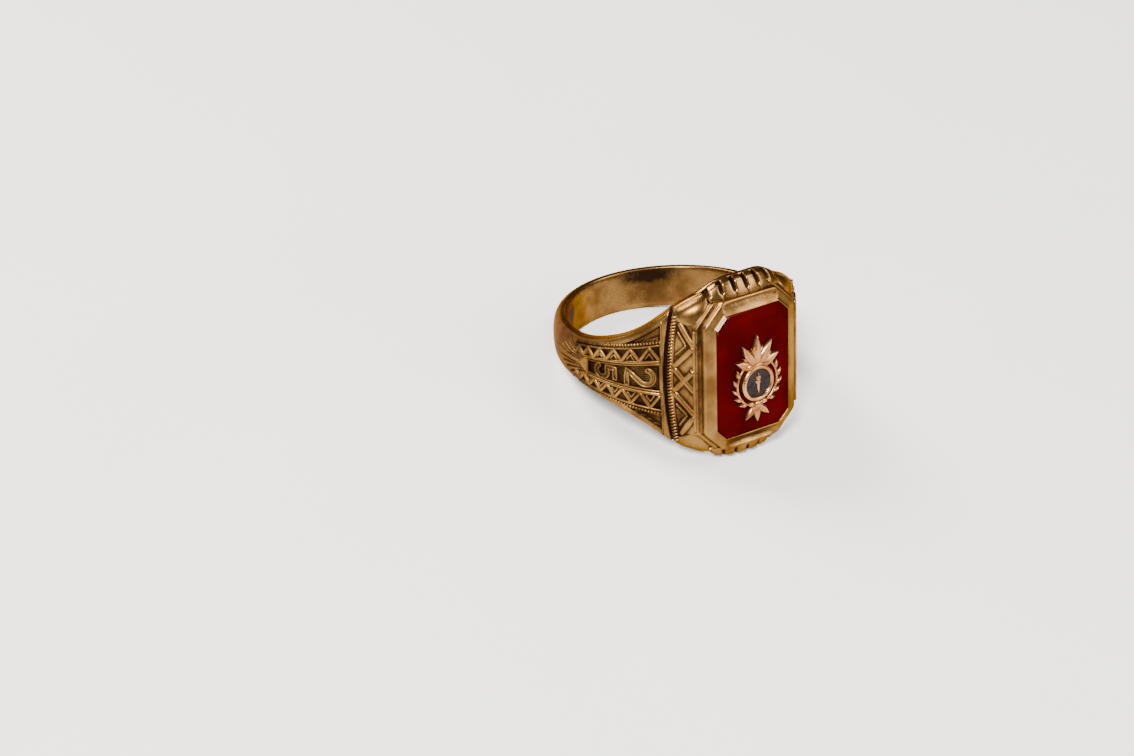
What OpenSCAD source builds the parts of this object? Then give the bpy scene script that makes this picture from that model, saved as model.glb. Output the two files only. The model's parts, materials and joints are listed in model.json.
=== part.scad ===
// Class ring: one cast gold band with relief shoulders and a raised bezel, a cut-corner stone,
// an applied emblem and its enamel. Millimetres. The ring lies on its side on z = 0, with the
// head facing -Y, as it rests by itself: on the head's lower end and on the back's lower edge.

/* [Finger] */
// Inner diameter of the finger hole
inner_d = 17.3; // [15:0.1:21]

/* [Shank] */
// Width of the band at the back
back_w = 3.5; // [2.5:0.1:5]
// Thickness of the band at the back
back_t = 1.0; // [0.9:0.05:1.6]
// Thickness of the shoulders where they carry the relief
shoulder_t = 1.3; // [1.2:0.05:1.6]

/* [Head] */
// Length of the head along the finger
head_l = 15.0; // [14.8:0.1:17]
// Height of the bezel's lip above the finger hole
lip_rise = 2.05; // [1.8:0.05:2.4]
// Width of the bezel's sloping rail beside the stone
rail_w = 0.92; // [0.7:0.02:1.1]
// Width of the bezel's sloping rail at the stone's two ends
end_rail_w = 1.15; // [0.9:0.05:1.3]
// Number of reeds at each end of the head
reeds = 6; // [4:1:8]

/* [Stone] */
// Width of the stone across the finger
stone_w = 7.0; // [6:0.1:7.6]
// Length of the stone along the finger
stone_l = 10.45; // [9.5:0.05:10.6]
// Leg of each cut corner
stone_cut = 0.95; // [0.7:0.05:1.3]
// Width of the bevel round the table
bevel_w = 0.75; // [0.5:0.05:1]
// Height of the table above the lip
table_rise = 0.28; // [0.15:0.01:0.4]

/* [Emblem] */
// Thickness of the applied emblem
emblem_t = 0.5; // [0.4:0.05:0.8]
// Radius of the round medallion
medal_r = 1.55; // [1.4:0.05:1.8]

/* [Relief] */
// Depth of the cast relief on the shoulders
relief = 0.3; // [0.2:0.02:0.35]
// Number of zigzag teeth in each strip
teeth = 6; // [4:1:8]

/* [Hidden] */
$fn = 96;
gap = 0.03;
bore_r = inner_d / 2;
face_r = bore_r + shoulder_t;
lip_n = bore_r + lip_rise;
rail_drop = 0.32;
seat_n = bore_r + 0.75;
lip_w = 0.06;
frame_x = stone_w / 2 + rail_w;
frame_y = stone_l / 2 + end_rail_w;
frame_cut = stone_cut + 0.85;
foot_x = frame_x + 0.5;
foot_y = frame_y + 0.2;
foot_n = lip_n - rail_drop - 0.5;
wall_x = 6.02;
wall_end_x = 5.4;
wall_y = 5.5;
wall_n = 8.1;
table_n = lip_n + table_rise;
emblem_shift = -0.4;
medal_y = -0.45;
field_r = medal_r - 0.35;
field_d = 0.2;
spray_r = medal_r + 0.38;
spray_drop = 0.12;
knot_y = medal_y - medal_r - 0.3;
ribbon_l = 1.58;
ribbon_drop = 0.06;

// Sections of the band. Columns: angle from the head's middle, share of the flare from the back's
// half width to the head's, height of the crown over the bore, height of the edge over the bore,
// fullness of the section (2 is an ellipse).
STATIONS = [
    [0, 1, 1.25, 0.30, 4.5],
    [10, 0.99, 1.25, 0.30, 4.5],
    [18, 0.93, 1.25, 0.30, 4.5],
    [26, 0.85, 1.25, 0.32, 4.5],
    [34, 0.735, 1.27, 0.36, 5],
    [42, 0.57, shoulder_t, 0.42, 6],
    [50, 0.41, shoulder_t, 0.45, 6],
    [58, 0.285, shoulder_t, 0.45, 6],
    [67, 0.185, shoulder_t - 0.02, 0.42, 5],
    [78, 0.095, shoulder_t - 0.06, 0.38, 4],
    [92, 0.035, shoulder_t - 0.13, 0.32, 3],
    [120, 0.02, back_t + 0.05, 0.25, 2.4],
    [150, 0.005, back_t, 0.25, 2.3],
    [180, 0, back_t, 0.25, 2.3],
];

// Column c of the table at angle t, on a smooth curve through its rows.
function row_at(t, i = 0) = i + 2 < len(STATIONS) && STATIONS[i + 1][0] < t ? row_at(t, i + 1) : i;
function slope(i, c) =
    i == 0 || i == len(STATIONS) - 1 ? 0
    : (STATIONS[i + 1][c] - STATIONS[i - 1][c]) / (STATIONS[i + 1][0] - STATIONS[i - 1][0]);
function station(t, c) =
    let (i = row_at(t), h = STATIONS[i + 1][0] - STATIONS[i][0], k = (t - STATIONS[i][0]) / h)
    (2 * k ^ 3 - 3 * k ^ 2 + 1) * STATIONS[i][c] + (3 * k ^ 2 - 2 * k ^ 3) * STATIONS[i + 1][c]
    + (k ^ 3 - 2 * k ^ 2 + k) * h * slope(i, c) + (k ^ 3 - k ^ 2) * h * slope(i + 1, c);
function half_w(t) = back_w / 2 + (head_l - back_w) / 2 * station(abs(t), 1);

// Half outline of one section: u runs across the band from -1 to 1.
ACROSS = [for (i = [0:10]) -cos(18 * i)];
CORE_R = bore_r - 0.4;
function outer_r(t, u) =
    let (crown = station(t, 2), edge = station(t, 3), p = station(t, 4))
    bore_r + edge + (crown - edge) * (1 - abs(u) ^ p) ^ (1 / p);
function ring_point(t, r, a) = [r * sin(t), -r * cos(t), a];
function section(t) =
    let (w = half_w(t))
    concat([for (u = ACROSS) ring_point(t, outer_r(abs(t), u), w * u)],
           [ring_point(t, CORE_R, w), ring_point(t, CORE_R, -w)]);
TURN = concat([for (t = [-180:5:-95]) t], [for (t = [-90:2.5:90]) t], [for (t = [95:5:175]) t]);
BODY_POINTS = [for (t = TURN) each section(t)];

// The tilt at which the head's lower end and the back's lower edge touch one plane.
REST_POINTS = concat([for (p = BODY_POINTS) if (norm([p[0], p[1]]) > bore_r) p],
                     [for (t = TURN) ring_point(t, bore_r, -half_w(t))]);
function tilted_z(p, tilt) = p[2] * cos(tilt) - p[1] * sin(tilt);
function low(side, tilt) = min([for (p = REST_POINTS) if (p[1] * side > 0) tilted_z(p, tilt)]);
function find_tilt(a = 5, b = 30, n = 16) =
    n == 0 ? (a + b) / 2
    : let (m = (a + b) / 2) low(-1, m) < low(1, m) ? find_tilt(m, b, n - 1) : find_tilt(a, m, n - 1);
rest_tilt = find_tilt();
rest_z = -low(1, rest_tilt);
back_y = max([for (p = BODY_POINTS) p[1] * cos(rest_tilt) + p[2] * sin(rest_tilt)]);
front_n = table_n + gap + emblem_t - ribbon_drop;
front_y = (emblem_shift + knot_y - ribbon_l) * sin(rest_tilt) - front_n * cos(rest_tilt);

// Puts a drawing on the head: x across the finger, y along it, height n above the finger's axis.
module on_head(n = 0) { rotate([90, 0, 0]) translate([0, 0, n]) children(); }

// Puts a drawing on a shoulder, at angle t from the head: x away from the head, y along the finger.
module on_shoulder(side, t, n = 0) {
    rotate([0, 0, side * t]) on_head(n) rotate(side > 0 ? 0 : 180) children();
}

// A rectangle with cut corners, of half sizes x and y.
module cut_rect(x, y, c) {
    polygon([[x - c, -y], [x, c - y], [x, y - c], [x - c, y],
             [c - x, y], [-x, y - c], [-x, c - y], [c - x, -y]]);
}

// The band's body: every section joined to the next, with a plain core that the bore clears.
module body() {
    n = len(ACROSS) + 2;
    m = len(TURN);
    polyhedron(points = BODY_POINTS,
        faces = [for (i = [0:m - 1], j = [0:n - 1])
            let (a = i * n, b = ((i + 1) % m) * n, k = (j + 1) % n)
            each [[a + j, a + k, b + k], [a + j, b + k, b + j]]], convexity = 8);
}

// The plinth under the bezel: bowed side walls that rise to the bezel's foot.
function bow(y) = wall_end_x + (wall_x - wall_end_x) * (1 - (y / wall_y) ^ 2);
module plinth() {
    hull() {
        on_head(wall_n) linear_extrude(0.05) polygon(concat(
            [for (k = [-4:4]) [bow(k * wall_y / 4), k * wall_y / 4]],
            [for (k = [-4:4]) [-bow(k * wall_y / 4), -k * wall_y / 4]]));
        on_head(foot_n - 0.05) linear_extrude(0.05) cut_rect(foot_x, foot_y - 0.2, frame_cut + 0.2);
    }
}

// The bezel's frame: a flat strip, then a rail that slopes up to the lip round the stone.
module frame() {
    on_head(wall_n) linear_extrude(foot_n + 0.15 - wall_n)
        cut_rect(foot_x - 0.1, foot_y - 0.1, frame_cut + 0.2);
    hull() {
        on_head(foot_n) linear_extrude(lip_n - rail_drop - foot_n) cut_rect(frame_x, frame_y, frame_cut);
        on_head(lip_n - 0.05) linear_extrude(0.05)
            cut_rect(stone_w / 2 + lip_w, stone_l / 2 + lip_w, stone_cut);
    }
}

// One end of the head is a row of plain reeds that fan round the finger and slope to the edge.
reed_step = 6.5;
reed_r = 0.4;
reed_inset = 0.3;
module reed(t) {
    top_y = frame_y - 0.1;
    low_y = half_w(t) - reed_inset;
    top_n = bore_r + 1.16;
    low_n = bore_r + 0.62;
    slant = atan2(top_n - low_n, low_y - top_y);
    rotate([0, 0, t]) on_head() translate([0, top_y, top_n]) rotate([-90 - slant, 0, 0])
        cylinder(r = reed_r, h = (low_y - top_y) / cos(slant), $fn = 32);
}
module reed_row() {
    for (end = [0, 1], k = [-(reeds - 1) / 2:(reeds - 1) / 2])
        mirror([0, 0, end]) reed(k * reed_step);
}

// A smooth leaf at each corner of the head, from a point beside the bezel to the edge: one hull of
// five beads. Columns: angle from the head's middle, place along the finger, height over the bore,
// radius of the bead.
LEAF_BEADS = [
    [28, frame_y - 2.1, 1.25, 0.2],
    [27, frame_y - 0.75, 0.85, 0.66],
    [31, frame_y - 0.75, 0.62, 0.6],
    [25, half_w(25) - 0.5, 0.5, 0.5],
    [32, half_w(32) - 0.5, 0.5, 0.46],
];
module corner_leaf() {
    hull() for (b = LEAF_BEADS)
        rotate([0, 0, b[0]]) on_head(bore_r + b[2]) translate([0, b[1], 0]) sphere(r = b[3], $fn = 24);
}

// Shoulder relief, drawn flat as seen square on at mid_t. Angles are from the head's middle.
mid_t = 62;
panel_t = [42, 79.5];
strip_t = [42, 88];
frame_line = 0.2;
stroke = 0.2;
FIGURE_T = [51.5, 68.5];
FIGURE_H = [2.3, 1.75];
function along(t) = face_r * sin(t - mid_t);
function ramp(t, t0, v0, t1, v1) = v0 + (v1 - v0) * (t - t0) / (t1 - t0);
function panel_y(t) = ramp(t, 41, 1.42, 79, 0.78);
function strip_y(t) = ramp(t, 41, 3.1, 86, 1.72);
function spot(t, y) = [along(t), y];

// Plain figures as bars and arcs, 1 unit high, drawn with a stroke of width s.
module two(s) {
    difference() {
        translate([0.3, 0.7]) circle(r = 0.3 + s / 2, $fn = 24);
        translate([0.3, 0.7]) circle(r = 0.3 - s / 2, $fn = 24);
        polygon([[0.3, 0.7], [-0.2, 0.7], [-0.2, 0], [0.8, 0], [0.52, 0.5]]);
    }
    polygon([[-s / 2, 0], [0.5, 0.58], [0.6, 0.5], [s, s], [0.62, s], [0.62, 0]]);
}
module five(s) {
    difference() {
        translate([0.3, 0.3]) circle(r = 0.3 + s / 2, $fn = 24);
        translate([0.3, 0.3]) circle(r = 0.3 - s / 2, $fn = 24);
        polygon([[0.3, 0.3], [-0.3, 0.08], [-0.3, 0.9], [0.06, 0.9]]);
    }
    translate([0.02, 0.5]) square([s, 0.5]);
    translate([0.02, 1 - s]) square([0.56, s]);
}
// The panel's sunk floor, round two figures that stand up across it with their feet away from the head.
module figure_at(k) {
    translate(spot(FIGURE_T[k], 0)) rotate(90) scale(FIGURE_H[k]) translate([-0.3, -0.5]) children();
}
module panel_floor() {
    wide = panel_y(panel_t[0]) - frame_line;
    narrow = panel_y(panel_t[1]) - frame_line;
    difference() {
        polygon([spot(panel_t[0] + 1, wide), spot(panel_t[1], narrow),
                 spot(panel_t[1], -narrow), spot(panel_t[0] + 1, -wide)]);
        figure_at(0) two(stroke);
        figure_at(1) five(stroke);
    }
}

// Zigzag strip: two rows of sunk triangles, point to point, that leave a raised zigzag between them.
function tooth_t(k) = strip_t[0] + (strip_t[1] - strip_t[0]) * (k / teeth) * (1.25 - 0.25 * k / teeth);
bar = 0.13;
module zigzag() {
    for (k = [0:teeth - 1]) {
        t0 = tooth_t(k);
        t1 = tooth_t(k + 1);
        tm = (t0 + t1) / 2;
        polygon([[along(t0) + bar, panel_y(t0) + frame_line], [along(t1) - bar, panel_y(t1) + frame_line],
                 [along(tm), strip_y(tm) - frame_line - 2 * bar]]);
    }
    for (k = [0:teeth - 2]) {
        t0 = (tooth_t(k) + tooth_t(k + 1)) / 2;
        t1 = (tooth_t(k + 1) + tooth_t(k + 2)) / 2;
        tm = tooth_t(k + 1);
        polygon([[along(t0) + bar, strip_y(t0) - frame_line], [along(t1) - bar, strip_y(t1) - frame_line],
                 [along(tm), panel_y(tm) + frame_line + 2 * bar]]);
    }
}

// Three curved grooves fan out behind the panel on each side of it.
module fan() {
    for (k = [0:2]) {
        a = [along(81 + 1.5 * k), 0.62 - 0.16 * k];
        b = [along(88 + 2 * k), 0.85 - 0.2 * k];
        c = [along(94 + 3 * k), 1.4 - 0.3 * k];
        polygon([a, b, c, c + [0.02, -0.12], b + [0.06, -0.14], a + [0.04, -0.08]]);
    }
}

// The sunk wedge between the strip's outer rail and the band's edge.
wedge_drop = 0.15;
function edge_y(t) = half_w(t) - 0.55;
module wedge() {
    polygon([for (t = [41.5, 66]) spot(t, strip_y(t) + frame_line / 2),
             for (t = [61:-4:41]) spot(t, max(edge_y(t), strip_y(t) + frame_line / 2 + 0.03))]);
}

// All that lies less than depth under the shoulders' face, or over it.
module shell(depth) {
    difference() {
        cylinder(r = face_r + 3, h = head_l, center = true);
        cylinder(r = face_r - depth, h = head_l + 1, center = true);
    }
}

// Everything that is sunk in one shoulder, down to a round floor.
module shoulder_relief(side) {
    intersection() {
        on_shoulder(side, mid_t, 0) linear_extrude(face_r + 1) {
            panel_floor();
            for (m = [0, 1]) mirror([0, m]) {
                zigzag();
                fan();
            }
        }
        shell(relief);
    }
    intersection() {
        on_shoulder(side, mid_t, 0) linear_extrude(face_r + 1) for (m = [0, 1]) mirror([0, m]) wedge();
        shell(relief + wedge_drop);
    }
}

// Flat triangles sunk in the bowed wall between the bezel and the shoulder, seen square on.
wall_tilt = 35;
wall_mid = [5.48, 8.92];
wall_cut = 0.22;
cross_step = 2.3;
cross_half = 1.05;
module wall_pattern() {
    for (k = [-1:1]) {
        y = cross_step * k;
        foot = 0.72 - 0.06 * y * y;
        polygon([[-0.62, y + cross_half], [-0.62, y - cross_half], [-0.1, y]]);
        polygon([[foot, y + cross_half], [foot, y - cross_half], [0.16, y]]);
    }
}
module wall_relief(side) {
    translate([side * wall_mid[0], -wall_mid[1], 0]) rotate([0, 0, side * wall_tilt]) on_head(-wall_cut)
        linear_extrude(1.5) rotate(side > 0 ? 0 : 180) wall_pattern();
}

// The groove that runs down between the wall and the shoulder, bowed as the wall is.
groove_t = 38;
groove_w = 0.24;
groove_d = 0.45;
function groove_x(y) = 0.02 - 0.016 * y * y;
module wall_groove(side) {
    intersection() {
        on_shoulder(side, groove_t, 0) linear_extrude(face_r + 1)
            polygon(concat([for (y = [-6:6]) [groove_x(y) + groove_w, y]],
                           [for (y = [6:-1:-6]) [groove_x(y), y]]));
        shell(groove_d);
    }
}

// Everything in the ring's own frame is turned to its rest pose.
module at_rest() {
    translate([0, -(front_y + back_y) / 2, rest_z]) rotate([-rest_tilt, 0, 0]) children();
}

module band() {
    color("goldenrod") at_rest() difference() {
        union() {
            body();
            plinth();
            frame();
            reed_row();
            for (m = [0, 1], n = [0, 1]) mirror([m, 0, 0]) mirror([0, 0, n]) corner_leaf();
        }
        for (side = [-1, 1]) {
            shoulder_relief(side);
            wall_relief(side);
            wall_groove(side);
        }
        on_head(seat_n) linear_extrude(5)
            cut_rect(stone_w / 2 + gap, stone_l / 2 + gap, stone_cut);
        cylinder(r = bore_r, h = head_l + 2, center = true);
    }
}

module stone() {
    color("darkred") at_rest() hull() {
        on_head(seat_n + gap) linear_extrude(lip_n - 0.02 - seat_n - gap)
            cut_rect(stone_w / 2, stone_l / 2, stone_cut);
        on_head(table_n - 0.01) linear_extrude(0.01)
            cut_rect(stone_w / 2 - bevel_w, stone_l / 2 - bevel_w, stone_cut * 0.75);
    }
}

// A pointed leaf from the origin along +X, of length l and width w.
module leaf(l, w) {
    r = (l * l + w * w) / (4 * w);
    intersection() {
        translate([l / 2, r - w / 2]) circle(r = r);
        translate([l / 2, w / 2 - r]) circle(r = r);
    }
}

// A plain torch inside the medallion, drawn wider by grow on every side.
module torch(grow) {
    polygon([[-0.11 - grow, -0.85 - grow], [0.11 + grow, -0.85 - grow],
             [0.2 + grow, 0.1], [-0.2 - grow, 0.1]]);
    translate([-0.3 - grow, 0.02 - grow]) square([0.6 + 2 * grow, 0.16 + 2 * grow]);
    translate([0, 0.1]) rotate(90) leaf(0.8 + grow, 0.5 + 2 * grow);
}

// A fan of leaves over the medallion.
module palmette() {
    for (k = [-2:2]) translate([0, 0.75]) rotate(90 + 33 * k) leaf(2.85 - 0.28 * abs(k), 0.82);
    translate([-1.05, 0.95]) square([2.1, 0.3]);
}

// Two sprays of leaves round the medallion, on one thin stem.
module sprays() {
    difference() {
        circle(r = spray_r + 0.1);
        circle(r = spray_r - 0.1);
        polygon([[0, 0], [3, 3.6], [0, 4], [-3, 3.6]]);
    }
    for (m = [0, 1], k = [0:4]) mirror([m, 0])
        rotate(-62 + 24 * k) translate([spray_r - 0.06, 0]) rotate(72) leaf(0.95, 0.4);
}

// A knotted ribbon under the medallion.
module ribbon() {
    translate([0, knot_y]) circle(r = 0.42);
    for (k = [-1:1]) translate([0, knot_y]) rotate(-90 + 48 * k) leaf(ribbon_l + 0.1 * abs(k), 0.62);
}

module on_table(n = 0) { at_rest() on_head(table_n + gap + n) translate([0, emblem_shift]) children(); }

module emblem() {
    color("rosybrown") on_table() {
        linear_extrude(emblem_t - spray_drop) translate([0, medal_y]) sprays();
        linear_extrude(emblem_t - ribbon_drop) ribbon();
        difference() {
            union() {
                linear_extrude(emblem_t) palmette();
                linear_extrude(emblem_t) translate([0, medal_y]) circle(r = medal_r);
            }
            translate([0, medal_y, emblem_t - field_d]) linear_extrude(1) difference() {
                circle(r = field_r);
                torch(0);
            }
        }
    }
}

module enamel() {
    color("black") on_table(emblem_t - field_d + gap) translate([0, medal_y])
        linear_extrude(field_d - 2 * gap) difference() {
            circle(r = field_r - gap);
            torch(gap);
        }
}

band();
stone();
emblem();
enamel();
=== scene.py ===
"""A gold class ring that lies on its side on a pale floor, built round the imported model.

Everything is worked out in the ring's own millimetres: x across the finger, y along the finger,
z away from the finger's axis towards the head. RingPose turns those into the frame's metres.
Angles are degrees round the finger from the middle of the head.
"""
import json
import logging
import math
from collections.abc import Callable
from dataclasses import dataclass, field
from enum import Enum

import bpy
import numpy as np
from mathutils import Matrix, Vector

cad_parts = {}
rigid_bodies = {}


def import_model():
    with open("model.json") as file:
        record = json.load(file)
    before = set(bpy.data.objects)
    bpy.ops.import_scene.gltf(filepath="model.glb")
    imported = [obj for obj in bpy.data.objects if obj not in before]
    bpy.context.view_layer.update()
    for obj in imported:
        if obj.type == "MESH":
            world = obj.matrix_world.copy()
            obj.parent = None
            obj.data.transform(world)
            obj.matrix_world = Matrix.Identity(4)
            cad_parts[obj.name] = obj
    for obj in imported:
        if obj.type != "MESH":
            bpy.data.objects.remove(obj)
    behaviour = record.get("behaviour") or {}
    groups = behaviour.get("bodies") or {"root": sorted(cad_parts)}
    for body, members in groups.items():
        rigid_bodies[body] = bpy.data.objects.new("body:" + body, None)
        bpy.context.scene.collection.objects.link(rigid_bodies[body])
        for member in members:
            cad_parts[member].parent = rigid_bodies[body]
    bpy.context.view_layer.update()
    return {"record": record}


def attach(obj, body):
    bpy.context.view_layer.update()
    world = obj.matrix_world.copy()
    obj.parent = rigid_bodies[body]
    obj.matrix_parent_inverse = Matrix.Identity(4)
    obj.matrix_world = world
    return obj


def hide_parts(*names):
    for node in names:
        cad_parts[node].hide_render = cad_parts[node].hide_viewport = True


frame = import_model()
LOG = logging.getLogger("class_ring")
MM = 0.001
BOTH = (-1, 1)

# A wire is its points in millimetres, whether it is closed, and how much it swells.
Wire = tuple[np.ndarray, bool, float | np.ndarray]


class Side(Enum):
    """The two shoulders of the ring."""

    LEFT = -1
    RIGHT = 1


class RingPose:
    """Places the ring's own millimetres in the frame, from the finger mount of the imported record."""

    def __init__(self, record: dict) -> None:
        """Reads the finger's axis and place.

        Args:
            record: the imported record.
        """
        mount = next(m for m in record["mounts"] if m["name"] == "finger")
        along = Vector(mount["axis"]).normalized()
        self.origin = Vector(mount["pos_m"])
        self.basis = np.array([(1, 0, 0), tuple(along), tuple(Vector((1, 0, 0)).cross(along))])

    def place(self, points: np.ndarray) -> np.ndarray:
        """Turns points in the ring's millimetres into the frame's metres."""
        return np.asarray(points, float) @ self.basis * MM + np.array(self.origin)

    def own(self, places: np.ndarray) -> np.ndarray:
        """Turns places in the frame's metres into the ring's millimetres."""
        return (places - np.array(self.origin)) / MM @ self.basis.T


POSE = RingPose(frame["record"])


@dataclass(frozen=True)
class RingSizes:
    """The sizes that the whole ring is worked out from, in millimetres and degrees."""

    bore_r: float = 8.65
    back_w: float = 3.5
    back_t: float = 1.0
    shoulder_t: float = 1.3
    head_l: float = 15.0
    stone_w: float = 7.0
    stone_l: float = 10.45
    stone_cut: float = 0.95
    lip_z: float = 10.7
    table_z: float = 10.98
    relief: float = 0.26
    bar_pitch: float = 6.5

    @property
    def face_r(self) -> float:
        """Radius of the shoulders' face."""
        return self.bore_r + self.shoulder_t

    @property
    def floor_r(self) -> float:
        """Radius of the sunk floor between the raised lines of the shoulders."""
        return self.face_r - self.relief


SIZES = RingSizes()


def polar(theta: np.ndarray, radius: np.ndarray, y: np.ndarray) -> np.ndarray:
    """Points round the finger's axis.

    Args:
        theta: angle from the middle of the head, in degrees.
        radius: distance from the finger's axis.
        y: place along the finger.

    Returns:
        An array of points, one row each.
    """
    t = np.radians(theta)
    return np.stack(np.broadcast_arrays(radius * np.sin(t), y, radius * np.cos(t)), axis=-1)


def step(value: np.ndarray, low: float, high: float) -> np.ndarray:
    """A smooth step from 0 at low to 1 at high."""
    k = np.clip((np.asarray(value, float) - low) / (high - low), 0, 1)
    return k * k * (3 - 2 * k)


def smooth_rows(table: np.ndarray, at: np.ndarray) -> np.ndarray:
    """A smooth curve through the rows of a table, flat at both ends.

    Args:
        table: rows of an angle and the values there.
        at: angles to read the values at.

    Returns:
        One row of values for each angle.
    """
    x, v = table[:, 0], table[:, 1:]
    slope = np.zeros_like(v)
    slope[1:-1] = (v[2:] - v[:-2]) / (x[2:] - x[:-2])[:, None]
    i = np.clip(np.searchsorted(x, at) - 1, 0, len(x) - 2)
    h = (x[i + 1] - x[i])[:, None]
    k = ((at - x[i]) / (x[i + 1] - x[i]))[:, None]
    return ((2 * k**3 - 3 * k**2 + 1) * v[i] + (3 * k**2 - 2 * k**3) * v[i + 1]
            + (k**3 - 2 * k**2 + k) * h * slope[i] + (k**3 - k**2) * h * slope[i + 1])


# Sections of the band. Columns: angle from the head's middle, share of the flare, height of the
# crown over the bore, height of the edge over the bore, fullness (2 is an ellipse).
STATIONS = np.array([
    (0, 1, 1.25, 0.30, 4.5),
    (10, 0.99, 1.25, 0.30, 4.5),
    (18, 0.93, 1.25, 0.30, 4.5),
    (26, 0.85, 1.25, 0.32, 4.5),
    (34, 0.735, 1.27, 0.36, 5),
    (42, 0.57, SIZES.shoulder_t, 0.42, 6),
    (50, 0.41, SIZES.shoulder_t, 0.45, 6),
    (58, 0.285, SIZES.shoulder_t, 0.45, 6),
    (67, 0.185, SIZES.shoulder_t - 0.02, 0.42, 5),
    (78, 0.095, SIZES.shoulder_t - 0.06, 0.38, 4),
    (92, 0.035, SIZES.shoulder_t - 0.13, 0.32, 3),
    (120, 0.02, SIZES.back_t + 0.05, 0.25, 2.4),
    (150, 0.005, SIZES.back_t, 0.25, 2.3),
    (180, 0, SIZES.back_t, 0.25, 2.3),
])

# Places across the band as shares of its half width, closer together towards its edges.
ACROSS = np.sin(np.linspace(-90, 90, 401) * math.pi / 180)


def half_width(theta: np.ndarray) -> np.ndarray:
    """Half the band's width at an angle from the head's middle."""
    share = smooth_rows(STATIONS, np.atleast_1d(np.abs(theta)).astype(float))[:, 0]
    return SIZES.back_w / 2 + (SIZES.head_l - SIZES.back_w) / 2 * share


def link(name: str, data: bpy.types.ID) -> bpy.types.Object:
    """Puts new data in the scene, as an object at the origin.

    Args:
        name: the object's name.
        data: its mesh, light or camera.

    Returns:
        The new object.
    """
    made = bpy.data.objects.new(name, data)
    bpy.context.scene.collection.objects.link(made)
    return made


def vertices(mesh: bpy.types.Mesh) -> np.ndarray:
    """The places of a mesh's vertices.

    Args:
        mesh: the mesh.

    Returns:
        Places in metres, one row each.
    """
    places = np.empty(len(mesh.vertices) * 3)
    mesh.vertices.foreach_get("co", places)
    return places.reshape(-1, 3)


def store(mesh: bpy.types.Mesh, name: str, values: np.ndarray) -> None:
    """Stores a number for each vertex of a mesh."""
    mesh.attributes.new(name, "FLOAT", "POINT").data.foreach_set("value", values)


def new_mesh(name: str, points: np.ndarray, faces: list,
             patina_and_painted_light: np.ndarray | None = None) -> bpy.types.Object:
    """Makes a smooth-shaded object from points in the ring's millimetres.

    Args:
        name: the piece's name.
        points: one row for each vertex.
        faces: vertex numbers of each face.
        patina_and_painted_light: how dark each vertex is from its patina and any painted shade, from 0
            to 1; left out, none is dark.

    Returns:
        The new object, at the origin.
    """
    mesh = bpy.data.meshes.new(name)
    mesh.from_pydata(POSE.place(points).tolist(), [], faces)
    mesh.polygons.foreach_set("use_smooth", [True] * len(mesh.polygons))
    store(mesh, "patina_and_painted_light", np.zeros(len(points)) if patina_and_painted_light is None else patina_and_painted_light.astype(float))
    mesh.validate()
    return link(name, mesh)


def grid_faces(rows: int, columns: int, wrap_rows: bool = False) -> list:
    """Faces of a grid of points whose numbers run along its rows, each row closed on itself.

    Args:
        rows: number of rows.
        columns: points in each row.
        wrap_rows: whether the last row joins the first.

    Returns:
        Four vertex numbers for each face.
    """
    i = np.arange(rows if wrap_rows else rows - 1)
    a, b = [g.ravel() for g in np.meshgrid(i, np.arange(columns), indexing="ij")]
    a1, b1 = (a + 1) % rows, (b + 1) % columns
    corners = [a * columns + b, a * columns + b1, a1 * columns + b1, a1 * columns + b]
    return np.stack(corners, axis=1).tolist()


def outward(made: bpy.types.Object) -> bpy.types.Object:
    """Turns a closed mesh's faces outwards, by the sign of its volume.

    Args:
        made: the object.

    Returns:
        The same object.
    """
    mesh = made.data
    mesh.calc_loop_triangles()
    corners = np.empty(len(mesh.loop_triangles) * 3, dtype=int)
    mesh.loop_triangles.foreach_get("vertices", corners)
    places = vertices(mesh)
    places = places - places.mean(axis=0)
    a, b, c = (places[corners.reshape(-1, 3)[:, k]] for k in range(3))
    if float(np.einsum("ij,ij->i", a, np.cross(b, c)).sum()) < 0:
        mesh.flip_normals()
    return made


def stacked(name: str, loops: list, patina_and_painted_light: list | None = None) -> bpy.types.Object:
    """A closed shape through a stack of loops of equal length, capped at both ends.

    Args:
        name: the piece's name.
        loops: an array of points for each loop.
        patina_and_painted_light: for each loop one value, or one for each of its points; left out,
            none is dark.

    Returns:
        The new object.
    """
    count, last = len(loops[0]), len(loops) - 1
    faces = grid_faces(len(loops), count)
    faces.append(list(range(count))[::-1])
    faces.append([last * count + k for k in range(count)])
    shade = None
    if patina_and_painted_light is not None:
        shade = np.concatenate([np.broadcast_to(p, count) for p in patina_and_painted_light])
    return outward(new_mesh(name, np.concatenate(loops), faces, shade))


def joined(name: str, parts: list) -> bpy.types.Object:
    """Joins several objects into one, keeping their patina.

    Args:
        name: the piece's name.
        parts: the objects, which are removed.

    Returns:
        The new object.
    """
    points, faces, shade, smooth, start = [], [], [], [], 0
    for part in parts:
        mesh = part.data
        tone = np.zeros(len(mesh.vertices))
        if "patina_and_painted_light" in mesh.attributes:
            mesh.attributes["patina_and_painted_light"].data.foreach_get("value", tone)
        points.append(vertices(mesh))
        shade.append(tone)
        faces += [[v + start for v in p.vertices] for p in mesh.polygons]
        smooth += [p.use_smooth for p in mesh.polygons]
        start += len(mesh.vertices)
        bpy.data.objects.remove(part)
    mesh = bpy.data.meshes.new(name)
    mesh.from_pydata(np.concatenate(points).tolist(), [], faces)
    mesh.polygons.foreach_set("use_smooth", smooth)
    store(mesh, "patina_and_painted_light", np.concatenate(shade))
    return link(name, mesh)


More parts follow.
